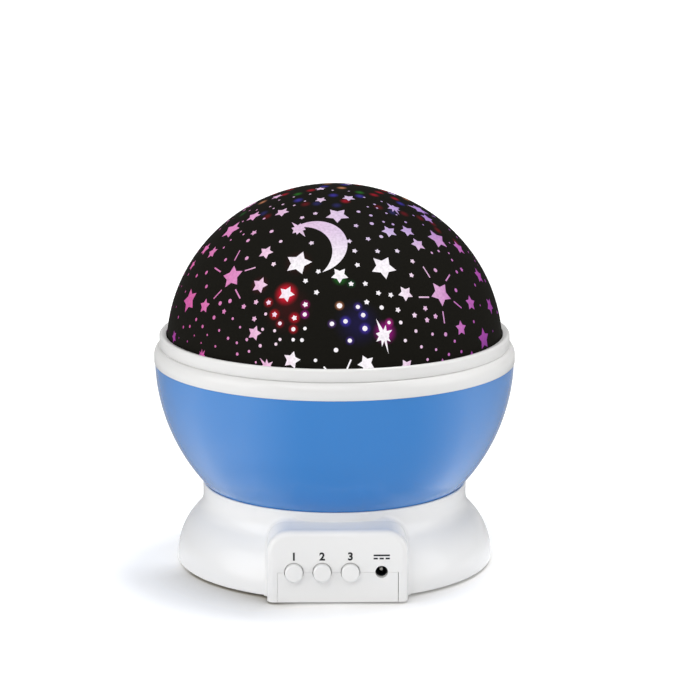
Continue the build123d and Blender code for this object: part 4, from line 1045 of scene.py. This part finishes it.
def floor_material():
    """White with the object's cast shadow, deepened by painted shade near the object, most on the front
    left; glossy surfaces see it darker in front, brighter at the sides.
    """
    white = (floor_white, floor_white, floor_white)
    material = shader("floor", white, 0.9, Specular_IOR_Level=0.0)
    tree = material.node_tree
    paths = node(tree, "ShaderNodeLightPath").outputs
    place = node(tree, "ShaderNodeTexCoord").outputs["Object"]
    # Painted shade: the floor is darkened where the object hides its sky, more on some sides than on others.
    nearby = node(tree, "ShaderNodeAmbientOcclusion", samples=painted_shade_samples)
    nearby.inputs["Distance"].default_value = painted_shade_reach * mm
    hidden = remap(tree, nearby.outputs["AO"], open_sky, closed_sky)
    dark = arithmetic(tree, "MULTIPLY", hidden, level_round(tree, place, painted_shade_share))
    mirrored = level_round(tree, place, floor_mirrored)
    unseen = mixed(tree, paths["Is Glossy Ray"], (*white, 1), mirrored)
    # The painted shade darkens the floor's colour and takes away its lift.
    shaded = colour_ramp(tree, dark, [(0.0, white), (1.0, painted_floor_shade)])
    lit = colour_ramp(tree, dark, [(0.0, (1, 1, 1)), (1.0, (0, 0, 0))])
    lift = arithmetic(tree, "MULTIPLY", paths["Is Camera Ray"], floor_lift)
    inputs = tree.nodes["Principled BSDF"].inputs
    tree.links.new(mixed(tree, paths["Is Camera Ray"], unseen, shaded), inputs["Base Color"])
    tree.links.new(mixed(tree, paths["Is Glossy Ray"], lit, mirrored), inputs["Emission Color"])
    tree.links.new(arithmetic(tree, "MULTIPLY_ADD", paths["Is Glossy Ray"], floor_glint, lift),
                   inputs["Emission Strength"])
    return material


def make_stage():
    """The floor under the object, which isn't part of it."""
    floor = box_object("floor", (-floor_reach, -floor_reach, -floor_depth), (floor_reach, floor_reach, 0))
    bpy.context.scene.collection.objects.link(paint(floor, floor_material()))


def background(tree, colour, strength):
    """A plain light from all round."""
    made = node(tree, "ShaderNodeBackground")
    feed(tree, colour, made.inputs["Color"])
    made.inputs["Strength"].default_value = strength
    return made.outputs[0]


def either(tree, share, first, second):
    """The first background where the share is 0, the second where it is 1."""
    made = node(tree, "ShaderNodeMixShader")
    for term, socket in zip((share, first, second), made.inputs):
        tree.links.new(term, socket)
    return made.outputs[0]


def make_sky():
    """An even sky. The camera sees it white, and glossy surfaces see it bright at both sides."""
    world = bpy.data.worlds.new("sky")
    bpy.context.scene.world = world
    world.use_nodes = True
    tree = world.node_tree
    tree.nodes.clear()
    white = (1, 1, 1, 1)
    paths = node(tree, "ShaderNodeLightPath").outputs
    place = node(tree, "ShaderNodeTexCoord").outputs["Generated"]
    mirrored = background(tree, level_round(tree, place, sky_mirrored), mirror_strength)
    unseen = either(tree, paths["Is Glossy Ray"], background(tree, white, sky_level), mirrored)
    seen = either(tree, paths["Is Camera Ray"], unseen, background(tree, white, 1.0))
    tree.links.new(seen, node(tree, "ShaderNodeOutputWorld").inputs[0])


def make_lamps():
    """A key from nearly overhead, and soft light from the front and from both sides."""
    for name, (energy, spread, source) in lamps.items():
        lamp = bpy.data.lights.new(name, "SUN")
        lamp.energy, lamp.angle = energy, radians(spread)
        holder = bpy.data.objects.new(name, lamp)
        holder.rotation_euler = Vector(source).to_track_quat("Z", "Y").to_euler()
        bpy.context.scene.collection.objects.link(holder)


def make_camera():
    """The camera of the picture: a long lens a metre away, a little above and left of the front."""
    distance, azimuth, elevation = 1000.0, -1.1, 12.8
    aim = Vector((0, 0, 70.5))
    picture, sensor = 700, 36.0
    focal_pixels = 2880.0
    aim_pixel = (334.5, 360.3)
    a, e = radians(azimuth), radians(elevation)
    back = Vector((sin(a) * cos(e), -cos(a) * cos(e), sin(e)))
    camera = bpy.data.cameras.new("camera")
    camera.sensor_width = sensor
    camera.lens = focal_pixels / picture * sensor
    camera.shift_x = (picture / 2 - aim_pixel[0]) / picture
    camera.shift_y = (aim_pixel[1] - picture / 2) / picture
    camera.clip_start, camera.clip_end = 0.05, 50
    holder = bpy.data.objects.new("camera", camera)
    holder.location = (aim + back * distance) * mm
    holder.rotation_euler = back.to_track_quat("Z", "Y").to_euler()
    bpy.context.scene.collection.objects.link(holder)
    bpy.context.scene.camera = holder


# ---- build
bpy.context.scene.view_settings.view_transform = "Standard"
materials = plain_materials()
make_bowl(materials)
make_ring(materials)
make_collar(materials)
make_tray(materials)
make_panel(materials, make_flare(materials))
make_blend(materials)
make_buttons(materials)
make_marks(shader("printed marks", mark_black, 0.5))
make_mask(mask_material())
make_frost(frost_material())
dress_cad(materials)
make_stage()
make_sky()
make_lamps()
make_camera()
